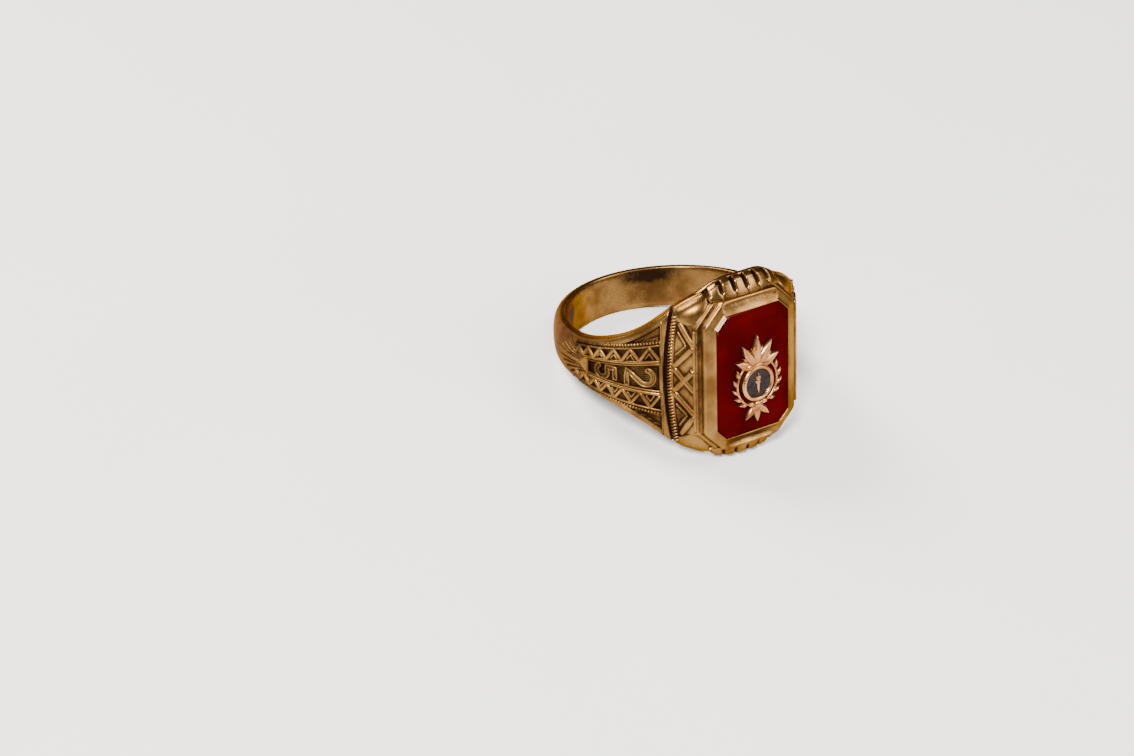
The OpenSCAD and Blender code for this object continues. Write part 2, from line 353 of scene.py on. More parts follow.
def tint(made: bpy.types.Object, rule: Callable[[np.ndarray], np.ndarray]) -> bpy.types.Object:
    """Writes the stored patina of each vertex, which on the stone is its painted reflection mask.

    Args:
        made: the object.
        rule: takes the vertices in the ring's millimetres and gives their patina from 0 to 1.

    Returns:
        The same object.
    """
    mesh = made.data
    patina_and_painted_light = rule(POSE.own(vertices(mesh)))
    for attribute in list(mesh.attributes):
        if attribute.name in ("swell", "patina_and_painted_light"):
            mesh.attributes.remove(attribute)
    store(mesh, "patina_and_painted_light", np.clip(patina_and_painted_light, 0, 1).astype(float))
    return made


def soften(made: bpy.types.Object, width: float, segments: int) -> None:
    """Rounds a piece's sharp edges and applies the result.

    Args:
        made: the object.
        width: width of the bevel in millimetres.
        segments: its segments.
    """
    modifier = made.modifiers.new("bevel", "BEVEL")
    modifier.width = width * MM
    modifier.segments = segments
    modifier.limit_method = "ANGLE"
    modifier.angle_limit = math.radians(12)
    modifier.harden_normals = True
    graph = bpy.context.evaluated_depsgraph_get()
    mesh = bpy.data.meshes.new_from_object(made.evaluated_get(graph))
    made.modifiers.clear()
    made.data = mesh


class Nodes:
    """A tree of nodes under construction."""

    tree: bpy.types.NodeTree

    def node(self, kind: str, settings: dict | None = None,
             values: dict | None = None) -> bpy.types.Node:
        """Adds a node.

        Args:
            kind: the node's type.
            settings: properties that are set before its sockets.
            values: for each socket's name or number, a value, an output socket or a Term.

        Returns:
            The new node.
        """
        made = self.tree.nodes.new(kind)
        for key, value in (settings or {}).items():
            setattr(made, key, value)
        for key, value in (values or {}).items():
            source = value.socket if isinstance(value, Term) else value
            if isinstance(source, bpy.types.NodeSocket):
                self.tree.links.new(source, made.inputs[key])
            else:
                made.inputs[key].default_value = value
        return made


class NodeTree(Nodes):
    """A Geometry Nodes tree with named inputs, built node by node."""

    def __init__(self, name: str, inputs: dict[str, tuple[str, object]]) -> None:
        """Makes the tree and its interface.

        Args:
            name: the tree's name.
            inputs: for each input's name, its socket type and its default value.
        """
        self.tree = bpy.data.node_groups.new(name, "GeometryNodeTree")
        face = self.tree.interface
        face.new_socket("Geometry", in_out="INPUT", socket_type="NodeSocketGeometry")
        self.ids: dict[str, str] = {}
        for key, (kind, default) in inputs.items():
            socket = face.new_socket(key, in_out="INPUT", socket_type=kind)
            if default is not None:
                socket.default_value = default
            self.ids[key] = socket.identifier
        face.new_socket("Geometry", in_out="OUTPUT", socket_type="NodeSocketGeometry")
        self.start = self.tree.nodes.new("NodeGroupInput")
        self.end = self.tree.nodes.new("NodeGroupOutput")

    def finish(self, geometry: bpy.types.NodeSocket) -> None:
        """Ends the tree in Realize Instances, smooth shading and Set Material.

        Args:
            geometry: the socket with the geometry that is made.
        """
        real = self.node("GeometryNodeRealizeInstances", values={"Geometry": geometry})
        soft = self.node("GeometryNodeSetShadeSmooth", values={"Geometry": real.outputs[0]})
        done = self.node("GeometryNodeSetMaterial", values={
            "Geometry": soft.outputs[0], "Material": self.start.outputs["Material"]})
        self.tree.links.new(done.outputs[0], self.end.inputs[0])

    def run(self, name: str, base: bpy.types.Mesh, values: dict) -> bpy.types.Object:
        """Runs the tree on a mesh and keeps its result as a plain mesh object.

        Args:
            name: the new object's name.
            base: the mesh that the tree starts from.
            values: for each named input, its value.

        Returns:
            A plain mesh object with no modifier.
        """
        carrier = link(name + "_base", base)
        modifier = carrier.modifiers.new("nodes", "NODES")
        modifier.node_group = self.tree
        for key, value in values.items():
            modifier[self.ids[key]] = value
        graph = bpy.context.evaluated_depsgraph_get()
        mesh = bpy.data.meshes.new_from_object(carrier.evaluated_get(graph))
        bpy.data.objects.remove(carrier)
        mesh.name = name
        return link(name, mesh)


class WireTree(NodeTree):
    """Sweeps a round wire along every edge path of a mesh, swollen by the path's own attribute."""

    sides: int = 8

    def __init__(self) -> None:
        """Builds the tree."""
        super().__init__("wire_on_paths", {
            "Radius": ("NodeSocketFloat", 0.0001), "Sides": ("NodeSocketInt", self.sides),
            "Material": ("NodeSocketMaterial", None)})
        curve = self.node("GeometryNodeMeshToCurve",
                          values={"Mesh": self.start.outputs["Geometry"]})
        swell = self.node("GeometryNodeInputNamedAttribute",
                          {"data_type": "FLOAT"}, {"Name": "swell"})
        sized = self.node("GeometryNodeSetCurveRadius", values={
            "Curve": curve.outputs[0], "Radius": swell.outputs["Attribute"]})
        ring = self.node("GeometryNodeCurvePrimitiveCircle", {"mode": "RADIUS"}, {
            "Resolution": self.start.outputs["Sides"], "Radius": self.start.outputs["Radius"]})
        swept = self.node("GeometryNodeCurveToMesh", values={
            "Curve": sized.outputs[0], "Profile Curve": ring.outputs[0], "Fill Caps": True})
        if "Scale" in swept.inputs:
            self.tree.links.new(swell.outputs["Attribute"], swept.inputs["Scale"])
        self.finish(swept.outputs[0])

    def sweep(self, name: str, paths: list[Wire], radius: float) -> bpy.types.Object:
        """Sweeps wires along paths.

        Args:
            name: the new object's name.
            paths: the wires.
            radius: their radius in millimetres, where they don't swell.

        Returns:
            One mesh with every wire.
        """
        points, edges, swells = [], [], []
        for path, closed, swell in paths:
            start, count = len(points), len(path)
            points += list(map(tuple, path))
            edges += [(start + k, start + k + 1) for k in range(count - 1)]
            edges += [(start + count - 1, start)] if closed else []
            swells += list(np.broadcast_to(swell, count))
        base = bpy.data.meshes.new(name)
        base.from_pydata(POSE.place(np.array(points)).tolist(), edges, [])
        store(base, "swell", np.array(swells, float))
        return self.run(name, base, {"Radius": radius * MM, "Sides": self.sides})


class BeadTree(NodeTree):
    """Puts a small round bead on every point of a mesh, each a little different in size."""

    detail: int = 2
    spread: float = 0.08
    seed: int = 3

    def __init__(self) -> None:
        """Builds the tree."""
        super().__init__("beads_on_points", {
            "Radius": ("NodeSocketFloat", 0.0001), "Detail": ("NodeSocketInt", self.detail),
            "Spread": ("NodeSocketFloat", self.spread), "Seed": ("NodeSocketInt", self.seed),
            "Material": ("NodeSocketMaterial", None)})
        bead = self.node("GeometryNodeMeshIcoSphere", values={
            "Radius": self.start.outputs["Radius"], "Subdivisions": self.start.outputs["Detail"]})
        low = self.node("ShaderNodeMath", {"operation": "SUBTRACT"}, {
            0: 1.0, 1: self.start.outputs["Spread"]})
        size = self.node("FunctionNodeRandomValue", {"data_type": "FLOAT"}, {
            "Min": low.outputs[0], "Max": 1.0, "Seed": self.start.outputs["Seed"]})
        placed = self.node("GeometryNodeInstanceOnPoints", values={
            "Points": self.start.outputs["Geometry"], "Instance": bead.outputs["Mesh"],
            "Scale": size.outputs["Value"]})
        self.finish(placed.outputs[0])

    def scatter(self, name: str, points: np.ndarray, radius: float) -> bpy.types.Object:
        """Puts beads on points.

        Args:
            name: the new object's name.
            points: their places in the ring's millimetres.
            radius: radius of the largest bead in millimetres.

        Returns:
            One mesh with every bead.
        """
        base = bpy.data.meshes.new(name)
        base.from_pydata(POSE.place(points).tolist(), [], [])
        return self.run(name, base, {"Radius": radius * MM, "Detail": self.detail,
                                     "Seed": self.seed, "Spread": self.spread})


class Term:
    """A value in a shader tree that takes part in plain expressions."""

    def __init__(self, shader: "Shader", socket: bpy.types.NodeSocket) -> None:
        """Wraps an output socket."""
        self.shader, self.socket = shader, socket

    def _math(self, operation: str, first: object, second: object, clamp: bool = False) -> "Term":
        """Adds a Math node on two values."""
        settings = {"operation": operation, "use_clamp": clamp}
        return Term(self.shader, self.shader.node(
            "ShaderNodeMath", settings, {0: first, 1: second}).outputs[0])

    def __add__(self, other: object) -> "Term":
        """Adds."""
        return self._math("ADD", self, other)

    __radd__ = __add__

    def __sub__(self, other: object) -> "Term":
        """Subtracts."""
        return self._math("SUBTRACT", self, other)

    def __rsub__(self, other: object) -> "Term":
        """Subtracts this from a value."""
        return self._math("SUBTRACT", other, self)

    def __mul__(self, other: object) -> "Term":
        """Multiplies."""
        return self._math("MULTIPLY", self, other)

    __rmul__ = __mul__

    def clamp(self) -> "Term":
        """Keeps the value between 0 and 1."""
        return self._math("ADD", self, 0.0, clamp=True)

    def between(self, low: float, high: float) -> "Term":
        """A smooth 0 to 1 as the value goes from low to high."""
        made = self.shader.node("ShaderNodeMapRange", {"interpolation_type": "SMOOTHSTEP"}, {
            "Value": self, "From Min": low, "From Max": high})
        return Term(self.shader, made.outputs[0])


class Shader(Nodes):
    """A material under construction, with its Principled shader."""

    def __init__(self, name: str, constants: dict) -> None:
        """Makes the material.

        Args:
            name: its name.
            constants: for each socket of the Principled shader that is the same all over, its value.
        """
        self.material = bpy.data.materials.new(name)
        self.material.use_nodes = True
        self.tree = self.material.node_tree
        self.main = self.tree.nodes["Principled BSDF"]
        for key, value in constants.items():
            self.main.inputs[key].default_value = value
        self.place = Term(self, self.node("ShaderNodeTexCoord").outputs["Object"])

    def noise(self, scale: float, detail: float, rough: float) -> Term:
        """Noise in Object coordinates, with features of about 1 / scale metres."""
        made = self.node("ShaderNodeTexNoise", values={
            "Vector": self.place, "Scale": scale, "Detail": detail, "Roughness": rough})
        return Term(self, made.outputs[0])

    def attribute(self, name: str) -> Term:
        """A number stored on the mesh."""
        made = self.node("ShaderNodeAttribute", {
            "attribute_type": "GEOMETRY", "attribute_name": name})
        return Term(self, made.outputs["Fac"])

    def blend(self, factor: object, first: object, second: object) -> Term:
        """Mixes two colours."""
        made = self.node("ShaderNodeMix", {"data_type": "RGBA"}, {0: factor, 6: first, 7: second})
        return Term(self, made.outputs[2])

    def dress(self, **links: Term) -> bpy.types.Material:
        """Links varying values to the Principled shader.

        Args:
            links: a value for each socket's name, with its spaces as underscores.

        Returns:
            The finished material.
        """
        for key, value in links.items():
            self.tree.links.new(value.socket, self.main.inputs[key.replace("_", " ").title()])
        return self.material

    def bump(self, height: Term, distance: float, strength: float) -> None:
        """Adds fine relief, distance in metres."""
        made = self.node("ShaderNodeBump", values={
            "Height": height, "Distance": distance, "Strength": strength})
        self.tree.links.new(made.outputs[0], self.main.inputs["Normal"])


@dataclass(frozen=True)
class MetalFinish:
    """Old gold with wear: bright where fingers have rubbed it, dark red-brown in the recesses, and
    darker where the meshes store painted shade and a painted dark reflection.
    """

    name: str
    base: tuple = (0.245, 0.129, 0.039, 1)
    warm: tuple = (0.13, 0.06, 0.016, 1)
    dark: tuple = (0.0095, 0.0034, 0.0012, 1)
    edge: tuple = (0.5, 0.36, 0.22, 1)
    rough: float = 0.15
    rough_spread: float = 0.15
    cloud_scale: float = 420.0
    stain_scale: float = 160.0
    grain_scale: float = 5200.0
    grain_depth: float = 0.000012

    def make(self) -> bpy.types.Material:
        """Builds the material.

        Returns:
            The material.
        """
        s = Shader(self.name, {"Specular IOR Level": 0.12, "Specular Tint": self.edge})
        # The stored value is mostly patina in the hollows; on the band's back it holds painted shade
        # and inside the band a painted dark reflection.
        patina_and_painted_light = s.attribute("patina_and_painted_light")
        cloud = s.noise(self.cloud_scale, 4, 0.55)
        dark_patches = s.noise(self.stain_scale, 5, 0.6)
        grain = s.noise(self.grain_scale, 3, 0.6)
        toned = patina_and_painted_light.between(0.02, 0.3)
        darkening = (patina_and_painted_light + (grain - 0.5) * 0.5 * toned + (cloud - 0.5) * 0.35 * toned
                 + 0.4 * dark_patches.between(0.52, 0.7)).clamp()
        colour = s.blend(cloud.between(0.36, 0.66), self.base, self.warm)
        colour = s.blend(darkening.between(0.15, 0.85), colour, self.dark)
        rough = self.rough + self.rough_spread * cloud + 0.1 * grain + 0.3 * darkening
        s.bump(grain + 0.7 * cloud, self.grain_depth, 0.6)
        metal = 1.0 - 0.75 * darkening.between(0.3, 1.0)
        return s.dress(base_color=colour, roughness=rough, metallic=metal)


@dataclass(frozen=True)
class StoneFinish:
    """Polished dark red stone, almost opaque, with a thin wear haze; it reflects only through a coat
    laid on as a painted reflection.
    """

    name: str
    deep: tuple = (0.026, 0.0001, 0.0001, 1)
    bright: tuple = (0.046, 0.0002, 0.0002, 1)
    cloud_scale: float = 260.0
    haze_scale: float = 3800.0
    painted_shine: float = 0.34

    def make(self) -> bpy.types.Material:
        """Builds the material, whose coat, a painted reflection, is as strong as the mask stored on
        the mesh says.

        Returns:
            The material.
        """
        s = Shader(self.name, {"IOR": 1.6, "Specular IOR Level": 0.0})
        cloud = s.noise(self.cloud_scale, 2, 0.5)
        haze = s.noise(self.haze_scale, 4, 0.65)
        # Painted reflection: the coat's strength follows the mask stored on the mesh.
        return s.dress(base_color=s.blend(cloud.between(0.3, 0.7), self.deep, self.bright),
                       roughness=0.035 + 0.07 * haze.between(0.45, 0.8),
                       coat_weight=self.painted_shine * s.attribute("patina_and_painted_light"))


@dataclass(frozen=True)
class EnamelFinish:
    """Glossy black enamel, slightly uneven."""

    name: str
    dark: tuple = (0.006, 0.005, 0.006, 1)
    pale: tuple = (0.02, 0.014, 0.012, 1)
    cloud_scale: float = 2600.0
    unevenness: float = 0.00001

    def make(self) -> bpy.types.Material:
        """Builds the material.

        Returns:
            The material.
        """
        s = Shader(self.name, {"Specular IOR Level": 0.06})
        cloud = s.noise(self.cloud_scale, 3, 0.6)
        s.bump(cloud, self.unevenness, 0.4)
        return s.dress(base_color=s.blend(cloud.between(0.3, 0.7), self.dark, self.pale),
                       roughness=0.12 + 0.15 * cloud)


@dataclass(frozen=True)
class FloorFinish:
    """Plain pale studio paper."""

    name: str
    low: tuple = (0.72, 0.71, 0.69, 1)
    high: tuple = (0.76, 0.75, 0.73, 1)
    cloud_scale: float = 60.0
    grain_scale: float = 2500.0
    grain_depth: float = 0.00002

    def make(self) -> bpy.types.Material:
        """Builds the material.

        Returns:
            The material.
        """
        s = Shader(self.name, {"Specular IOR Level": 0.3})
        cloud = s.noise(self.cloud_scale, 3, 0.5)
        grain = s.noise(self.grain_scale, 2, 0.5)
        s.bump(grain, self.grain_depth, 0.25)
        return s.dress(base_color=s.blend(cloud, self.low, self.high), roughness=0.6 + 0.15 * grain)


@dataclass
class Relief:
    """The cast pattern of the shoulders and the head's rim, as depths pressed into the band.

    panel and strip hold the angles where the panel and the zigzag strips start and end, and
    wedge_end the angles where the wedges run out. The halves are distances from the middle where
    the relief starts and at its end. wedge_deep is the wedge's depth beside the strip and how much
    it gains towards the band's edge.
    """

    start: float = 41.0
    panel: tuple = (42.0, 79.5)
    strip: tuple = (42.0, 88.0)
    panel_half: tuple = (1.42, 0.78)
    strip_half: tuple = (3.1, 1.72)
    wedge_end: tuple = (65.0, 67.0)
    wedge_deep: tuple = (0.14, 0.34)
    teeth: int = 6
    grooves: int = 4
    groove_deep: float = 0.2
    foot_deep: float = 0.36
    foot_half: float = 0.8
    gap_deep: float = 0.5
    soft_y: float = 0.045
    soft_t: float = 0.35

    def panel_y(self, t: np.ndarray) -> np.ndarray:
        """Half width of the middle panel."""
        near, far = self.panel_half
        return near + (far - near) * (np.asarray(t, float) - self.start) / 38

    def strip_y(self, t: np.ndarray) -> np.ndarray:
        """Distance of the zigzag strip's outer rail from the middle."""
        near, far = self.strip_half
        return near + (far - near) * (np.asarray(t, float) - self.start) / 45

    def edge_y(self, t: np.ndarray) -> np.ndarray:
        """Distance of the wedge's outer rail from the middle."""
        return np.maximum(half_width(t) - 0.55, self.strip_y(t) + 0.1)

    def tooth_t(self, k: float) -> float:
        """Angle of the k-th foot of the zigzag, closer together away from the head."""
        share = k / self.teeth
        return self.strip[0] + (self.strip[1] - self.strip[0]) * share * (1.25 - 0.25 * share)

    def fan_start(self, k: int) -> float:
        """Angle where the k-th curved groove starts."""
        return 80.5 + 1.2 * k

    def fan_end(self, k: int) -> float:
        """Angle where the k-th curved groove ends."""
        return 97.0 + 3.2 * k

    def fan_y(self, k: int, t: np.ndarray) -> np.ndarray:
        """Place of the k-th curved groove behind the panel.

        Args:
            k: the groove's number, from the outermost.
            t: angles.

        Returns:
            Its distance from the middle at each angle.
        """
        first, last = self.fan_start(k), self.fan_end(k)
        share = np.clip((np.asarray(t, float) - first) / (last - first), 0, 1)
        return 0.64 - 0.15 * k + (0.98 - 0.27 * k) * share**1.8

    def groove_t(self, y: np.ndarray) -> np.ndarray:
        """Angle of the bowed groove at the foot of the head's wall."""
        return 39.0 - 0.085 * np.asarray(y, float) ** 2

    def field_depth(self, t: np.ndarray, y: np.ndarray) -> np.ndarray:
        """Depth of the panel and of the zigzag strips beside it.

        Args:
            t: angles, from 0 up.
            y: distances from the middle.

        Returns:
            The depth at each point.
        """
        soft_t, soft_y, outer = self.soft_t, self.soft_y, self.strip_y(t)
        corner = 8.5 * step(y, 0.4, 0.75) * (1 - step(y, 0.75, 0.95))
        end = np.where(y < self.panel_half[1], self.panel[1], self.strip[1] - corner)
        inside = step(t, self.strip[0] - soft_t, self.strip[0] + soft_t)
        inside = inside * (1 - step(t, end - soft_t, end + soft_t))
        return SIZES.relief * inside * (1 - step(y, outer - soft_y, outer + soft_y))

    def wedge_depth(self, t: np.ndarray, y: np.ndarray) -> np.ndarray:
        """Depth of the plain wedge between a strip and the band's edge.

        Args:
            t: angles, from 0 up.
            y: distances from the middle.

        Returns:
            The depth at each point.
        """
        inner, edge = self.strip_y(t), self.edge_y(t)
        slope = np.clip((y - inner) / np.maximum(edge - inner, 0.05), 0, 1)
        shallow, gain = self.wedge_deep
        deep = (shallow + gain * slope) * step(t, self.start + 0.3, self.start + 1.1)
        deep = deep * (1 - step(t, *self.wedge_end)) * step(y, inner + 0.04, inner + 0.14)
        return deep * (1 - step(y, edge - 0.09, edge + 0.02)) * step(edge - inner, 0.12, 0.3)

    def fan_depth(self, t: np.ndarray, y: np.ndarray) -> np.ndarray:
        """Depth of the curved grooves that fan out behind the panel.

        Args:
            t: angles, from 0 up.
            y: distances from the middle.

        Returns:
            The depth at each point.
        """
        deep = np.zeros_like(y)
        for k in range(self.grooves):
            first, last = self.fan_start(k), self.fan_end(k)
            along = step(t, first - 0.5, first + 2.5) * (1 - step(t, last - 4, last + 0.5))
            across = 1 - step(np.abs(y - self.fan_y(k, t)), 0.03, 0.125)
            deep = np.maximum(deep, self.groove_deep * along * across)
        return deep

    def foot_depth(self, t: np.ndarray, y: np.ndarray) -> np.ndarray:
        """Depth of the bowed groove at the foot of the head's wall."""
        half = self.foot_half * (1 - 0.5 * step(y, 1.5, 5.5))
        return self.foot_deep * (1 - step(np.abs(t - self.groove_t(y)), half, half + 0.6))

    def bar_gap(self, t: np.ndarray, y: np.ndarray) -> np.ndarray:
        """Depth of the gaps between the bars at the head's ends.

        Args:
            t: angles, from 0 up.
            y: distances from the middle.

        Returns:
            The depth at each point.
        """
        pitch = SIZES.bar_pitch
        near = np.abs(t / pitch - np.round(t / pitch)) * pitch
        gap = 1 - step(near, 1.0, 2.2)
        return self.gap_deep * gap * step(y, 6.6, 6.8) * (1 - step(t, 21.5, 23))

    def depth(self, t: np.ndarray, y: np.ndarray) -> np.ndarray:
        """How far the face is sunk.

        Args:
            t: angles from the head.
            y: places along the finger.

        Returns:
            The depth at each point.
        """
        t, y = np.abs(t), np.abs(y)
        parts = (self.field_depth, self.wedge_depth, self.fan_depth, self.foot_depth, self.bar_gap)
        return np.maximum.reduce([part(t, y) for part in parts])

    def tone(self, t: np.ndarray, y: np.ndarray, deep: np.ndarray) -> np.ndarray:
        """Patina of the open middle of a sunk field.

        Args:
            t: angles from the head.
            y: places along the finger.
            deep: the depth there.

        Returns:
            The patina: thin in the wedges, full in the wall's groove.
        """
        floor = step(deep, 0.22, 0.25) * (1 - step(deep, 0.265, 0.3))
        groove = 1 - step(np.abs(np.abs(t) - self.groove_t(np.abs(y))), 1.2, 1.6)
        return 0.4 + 0.33 * floor + 0.55 * groove


RELIEF = Relief()


@dataclass
class Shank:
    """The band's body: one closed surface of many sections, with the relief pressed into it."""

    outer: int = 122
    inner: int = 10
    round_off: float = 0.12
    skin: float = 0.16

    def angles(self) -> np.ndarray:
        """Angles of the sections, close together where the relief lies."""
        spans = [(-180, -106, 24), (-106, -36, 170), (-36, 36, 200), (36, 106, 170), (106, 180, 24)]
        return np.concatenate([np.linspace(a, b, n, endpoint=False) for a, b, n in spans])

    def section(self, t: float, w: float, row: np.ndarray) -> tuple:
        """One section: over the outside, round an edge, back along the bore, round the other edge.

        Args:
            t: its angle from the head's middle.
            w: half the band's width there.
            row: the values of the table of sections there.

        Returns:
            For each point its place, how much it is sunk, the patina that it has if it is sunk,
            and a darkening of the outer face from the shoulders back, with painted shade on the band's
            back and a painted dark reflection inside it.
        """
        _, crown, edge, full = row
        lift = edge + (crown - edge) * (1 - np.abs(ACROSS) ** full) ** (1 / full)
        run = np.concatenate([[0], np.cumsum(np.hypot(np.diff(ACROSS * w), np.diff(lift)))])
        at = np.linspace(0, run[-1], self.outer)
        u, r = np.interp(at, run, ACROSS), SIZES.bore_r + np.interp(at, run, lift)
        y = u * w
        deep = RELIEF.depth(np.full_like(y, t), y)
        sunk_r = np.maximum(r - deep, np.minimum(r, SIZES.bore_r + self.skin))
        corner = self.round_off * (1 - math.cos(math.pi / 4))
        side_y = np.array([w, w - corner])
        side_r = SIZES.bore_r + np.array([self.round_off, corner])
        y_in = np.linspace(w - self.round_off, self.round_off - w, self.inner)
        all_y = np.concatenate([y, side_y, y_in, -side_y[::-1]])
        all_r = np.concatenate([sunk_r, side_r, np.full(self.inner, SIZES.bore_r), side_r[::-1]])
        edges, rest = np.zeros(2), np.zeros(self.inner + 4)
        # Darker from the shoulders back; the further step on the back of the band is painted shade.
        tone_and_painted_shade = 0.3 * step(abs(t), 38, 42) + 0.2 * step(abs(t), 76, 98)
        tone_and_painted_shade = tone_and_painted_shade * (1 - step(np.abs(u), 0.93, 1.0))
        return (polar(np.full_like(all_y, t), all_r, all_y),
                np.concatenate([step(deep, 0.04, 0.18), rest]),
                np.concatenate([RELIEF.tone(t, y, deep), rest]),
                np.concatenate([tone_and_painted_shade, edges, self.dark_patches(t, y_in), edges]))

    def dark_patches(self, t: float, y: np.ndarray) -> np.ndarray:
        """Dark patches inside the band: the large one round 156 degrees is a painted dark reflection,
        the small one round -143 degrees is only darker.

        Args:
            t: the section's angle.
            y: places along the finger.

        Returns:
            The darkening at each place.
        """
        # The large patch is a painted dark reflection.
        large = math.exp(-((t - 156) / 17) ** 4) * step(y, 0.15, 0.9)
        small = math.exp(-((t + 143) / 6) ** 2) * np.exp(-((y - 0.1) / 1.2) ** 2)
        return 0.8 * np.maximum(large, small)

    def darkening(self, sunk: np.ndarray, base: np.ndarray) -> np.ndarray:
        """Patina of the sunk fields: full beside their walls, thinner in their open middle.

        Args:
            sunk: how much each point is sunk, a row for each section.
            base: the patina in the open middle.

        Returns:
            The patina of each point.
        """
        spread = sunk.copy()
        for _ in range(3):
            spread = (spread + np.roll(spread, 1, 0) + np.roll(spread, -1, 0)) / 3
        spread = (spread + np.roll(spread, 1, 1) + np.roll(spread, -1, 1)) / 3
        return sunk * np.clip(base + 1.6 * (1 - spread), 0, 1)

    def build(self) -> bpy.types.Object:
        """Builds the body.

        Returns:
            The new object.
        """
        theta = self.angles()
        rows = zip(theta, half_width(theta), smooth_rows(STATIONS, np.abs(theta)))
        parts = zip(*[self.section(t, w, row) for t, w, row in rows])
        points, sunk, base, toned = (np.array(part) for part in parts)
        faces = grid_faces(len(theta), points.shape[1], wrap_rows=True)
        # The last part of each section adds painted shade on the band's back and a painted dark
        # reflection inside it.
        shade = np.maximum(self.darkening(sunk, base), toned)
        return outward(new_mesh("gold_shank", points.reshape(-1, 3), faces, shade.ravel()))


def on_face(side: Side, t: np.ndarray, y: np.ndarray, lift: float) -> np.ndarray:
    """Points on a shoulder, with the pattern turned half round on the left side.

    Args:
        side: which shoulder.
        t: angles from the head.
        y: places along the finger as drawn on the right shoulder.
        lift: height over the face, below 0 to sink.

    Returns:
        The points.
    """
    t, y = np.atleast_1d(t).astype(float), np.atleast_1d(y).astype(float)
    rows = smooth_rows(STATIONS, t)
    u = np.clip(np.abs(y) / half_width(t), 0, 0.995)
    crown, edge, full = rows[:, 1], rows[:, 2], rows[:, 3]
    face = SIZES.bore_r + edge + (crown - edge) * (1 - u**full) ** (1 / full)
    return polar(side.value * t, face + lift, side.value * y)


def arc(cx: float, cy: float, r: float, a: float, b: float, n: int) -> list:
    """Points of an arc from angle a to angle b in degrees."""
    return [(cx + r * math.cos(math.radians(k)), cy + r * math.sin(math.radians(k)))
            for k in np.linspace(a, b, n)]


def outline(path: np.ndarray, half: float) -> np.ndarray:
    """The closed outline of a stroke along an open path.

    Args:
        path: points of the path.
        half: half the stroke's width.

    Returns:
        Points of the outline.
    """
    p = np.array(path, float)
    d = np.gradient(p, axis=0)
    d /= np.linalg.norm(d, axis=1)[:, None]
    side = np.stack([-d[:, 1], d[:, 0]], axis=1) * half
    p[0] -= d[0] * half * 0.6
    p[-1] += d[-1] * half * 0.6
    return np.concatenate([p + side, (p - side)[::-1]])


def dense(path: np.ndarray, gap: float) -> np.ndarray:
    """Adds points to a path so that none are farther apart than gap.

    Args:
        path: points of the path.
        gap: the largest distance between two points.

    Returns:
        Points of the same path.
    """
    path = np.asarray(path, float)
    out = [path[:1]]
    for a, b in zip(path[:-1], path[1:]):
        n = max(1, int(math.ceil(np.linalg.norm(b - a) / gap)))
        out.append(a + (b - a) * (np.arange(1, n + 1) / n)[:, None])
    return np.concatenate(out)


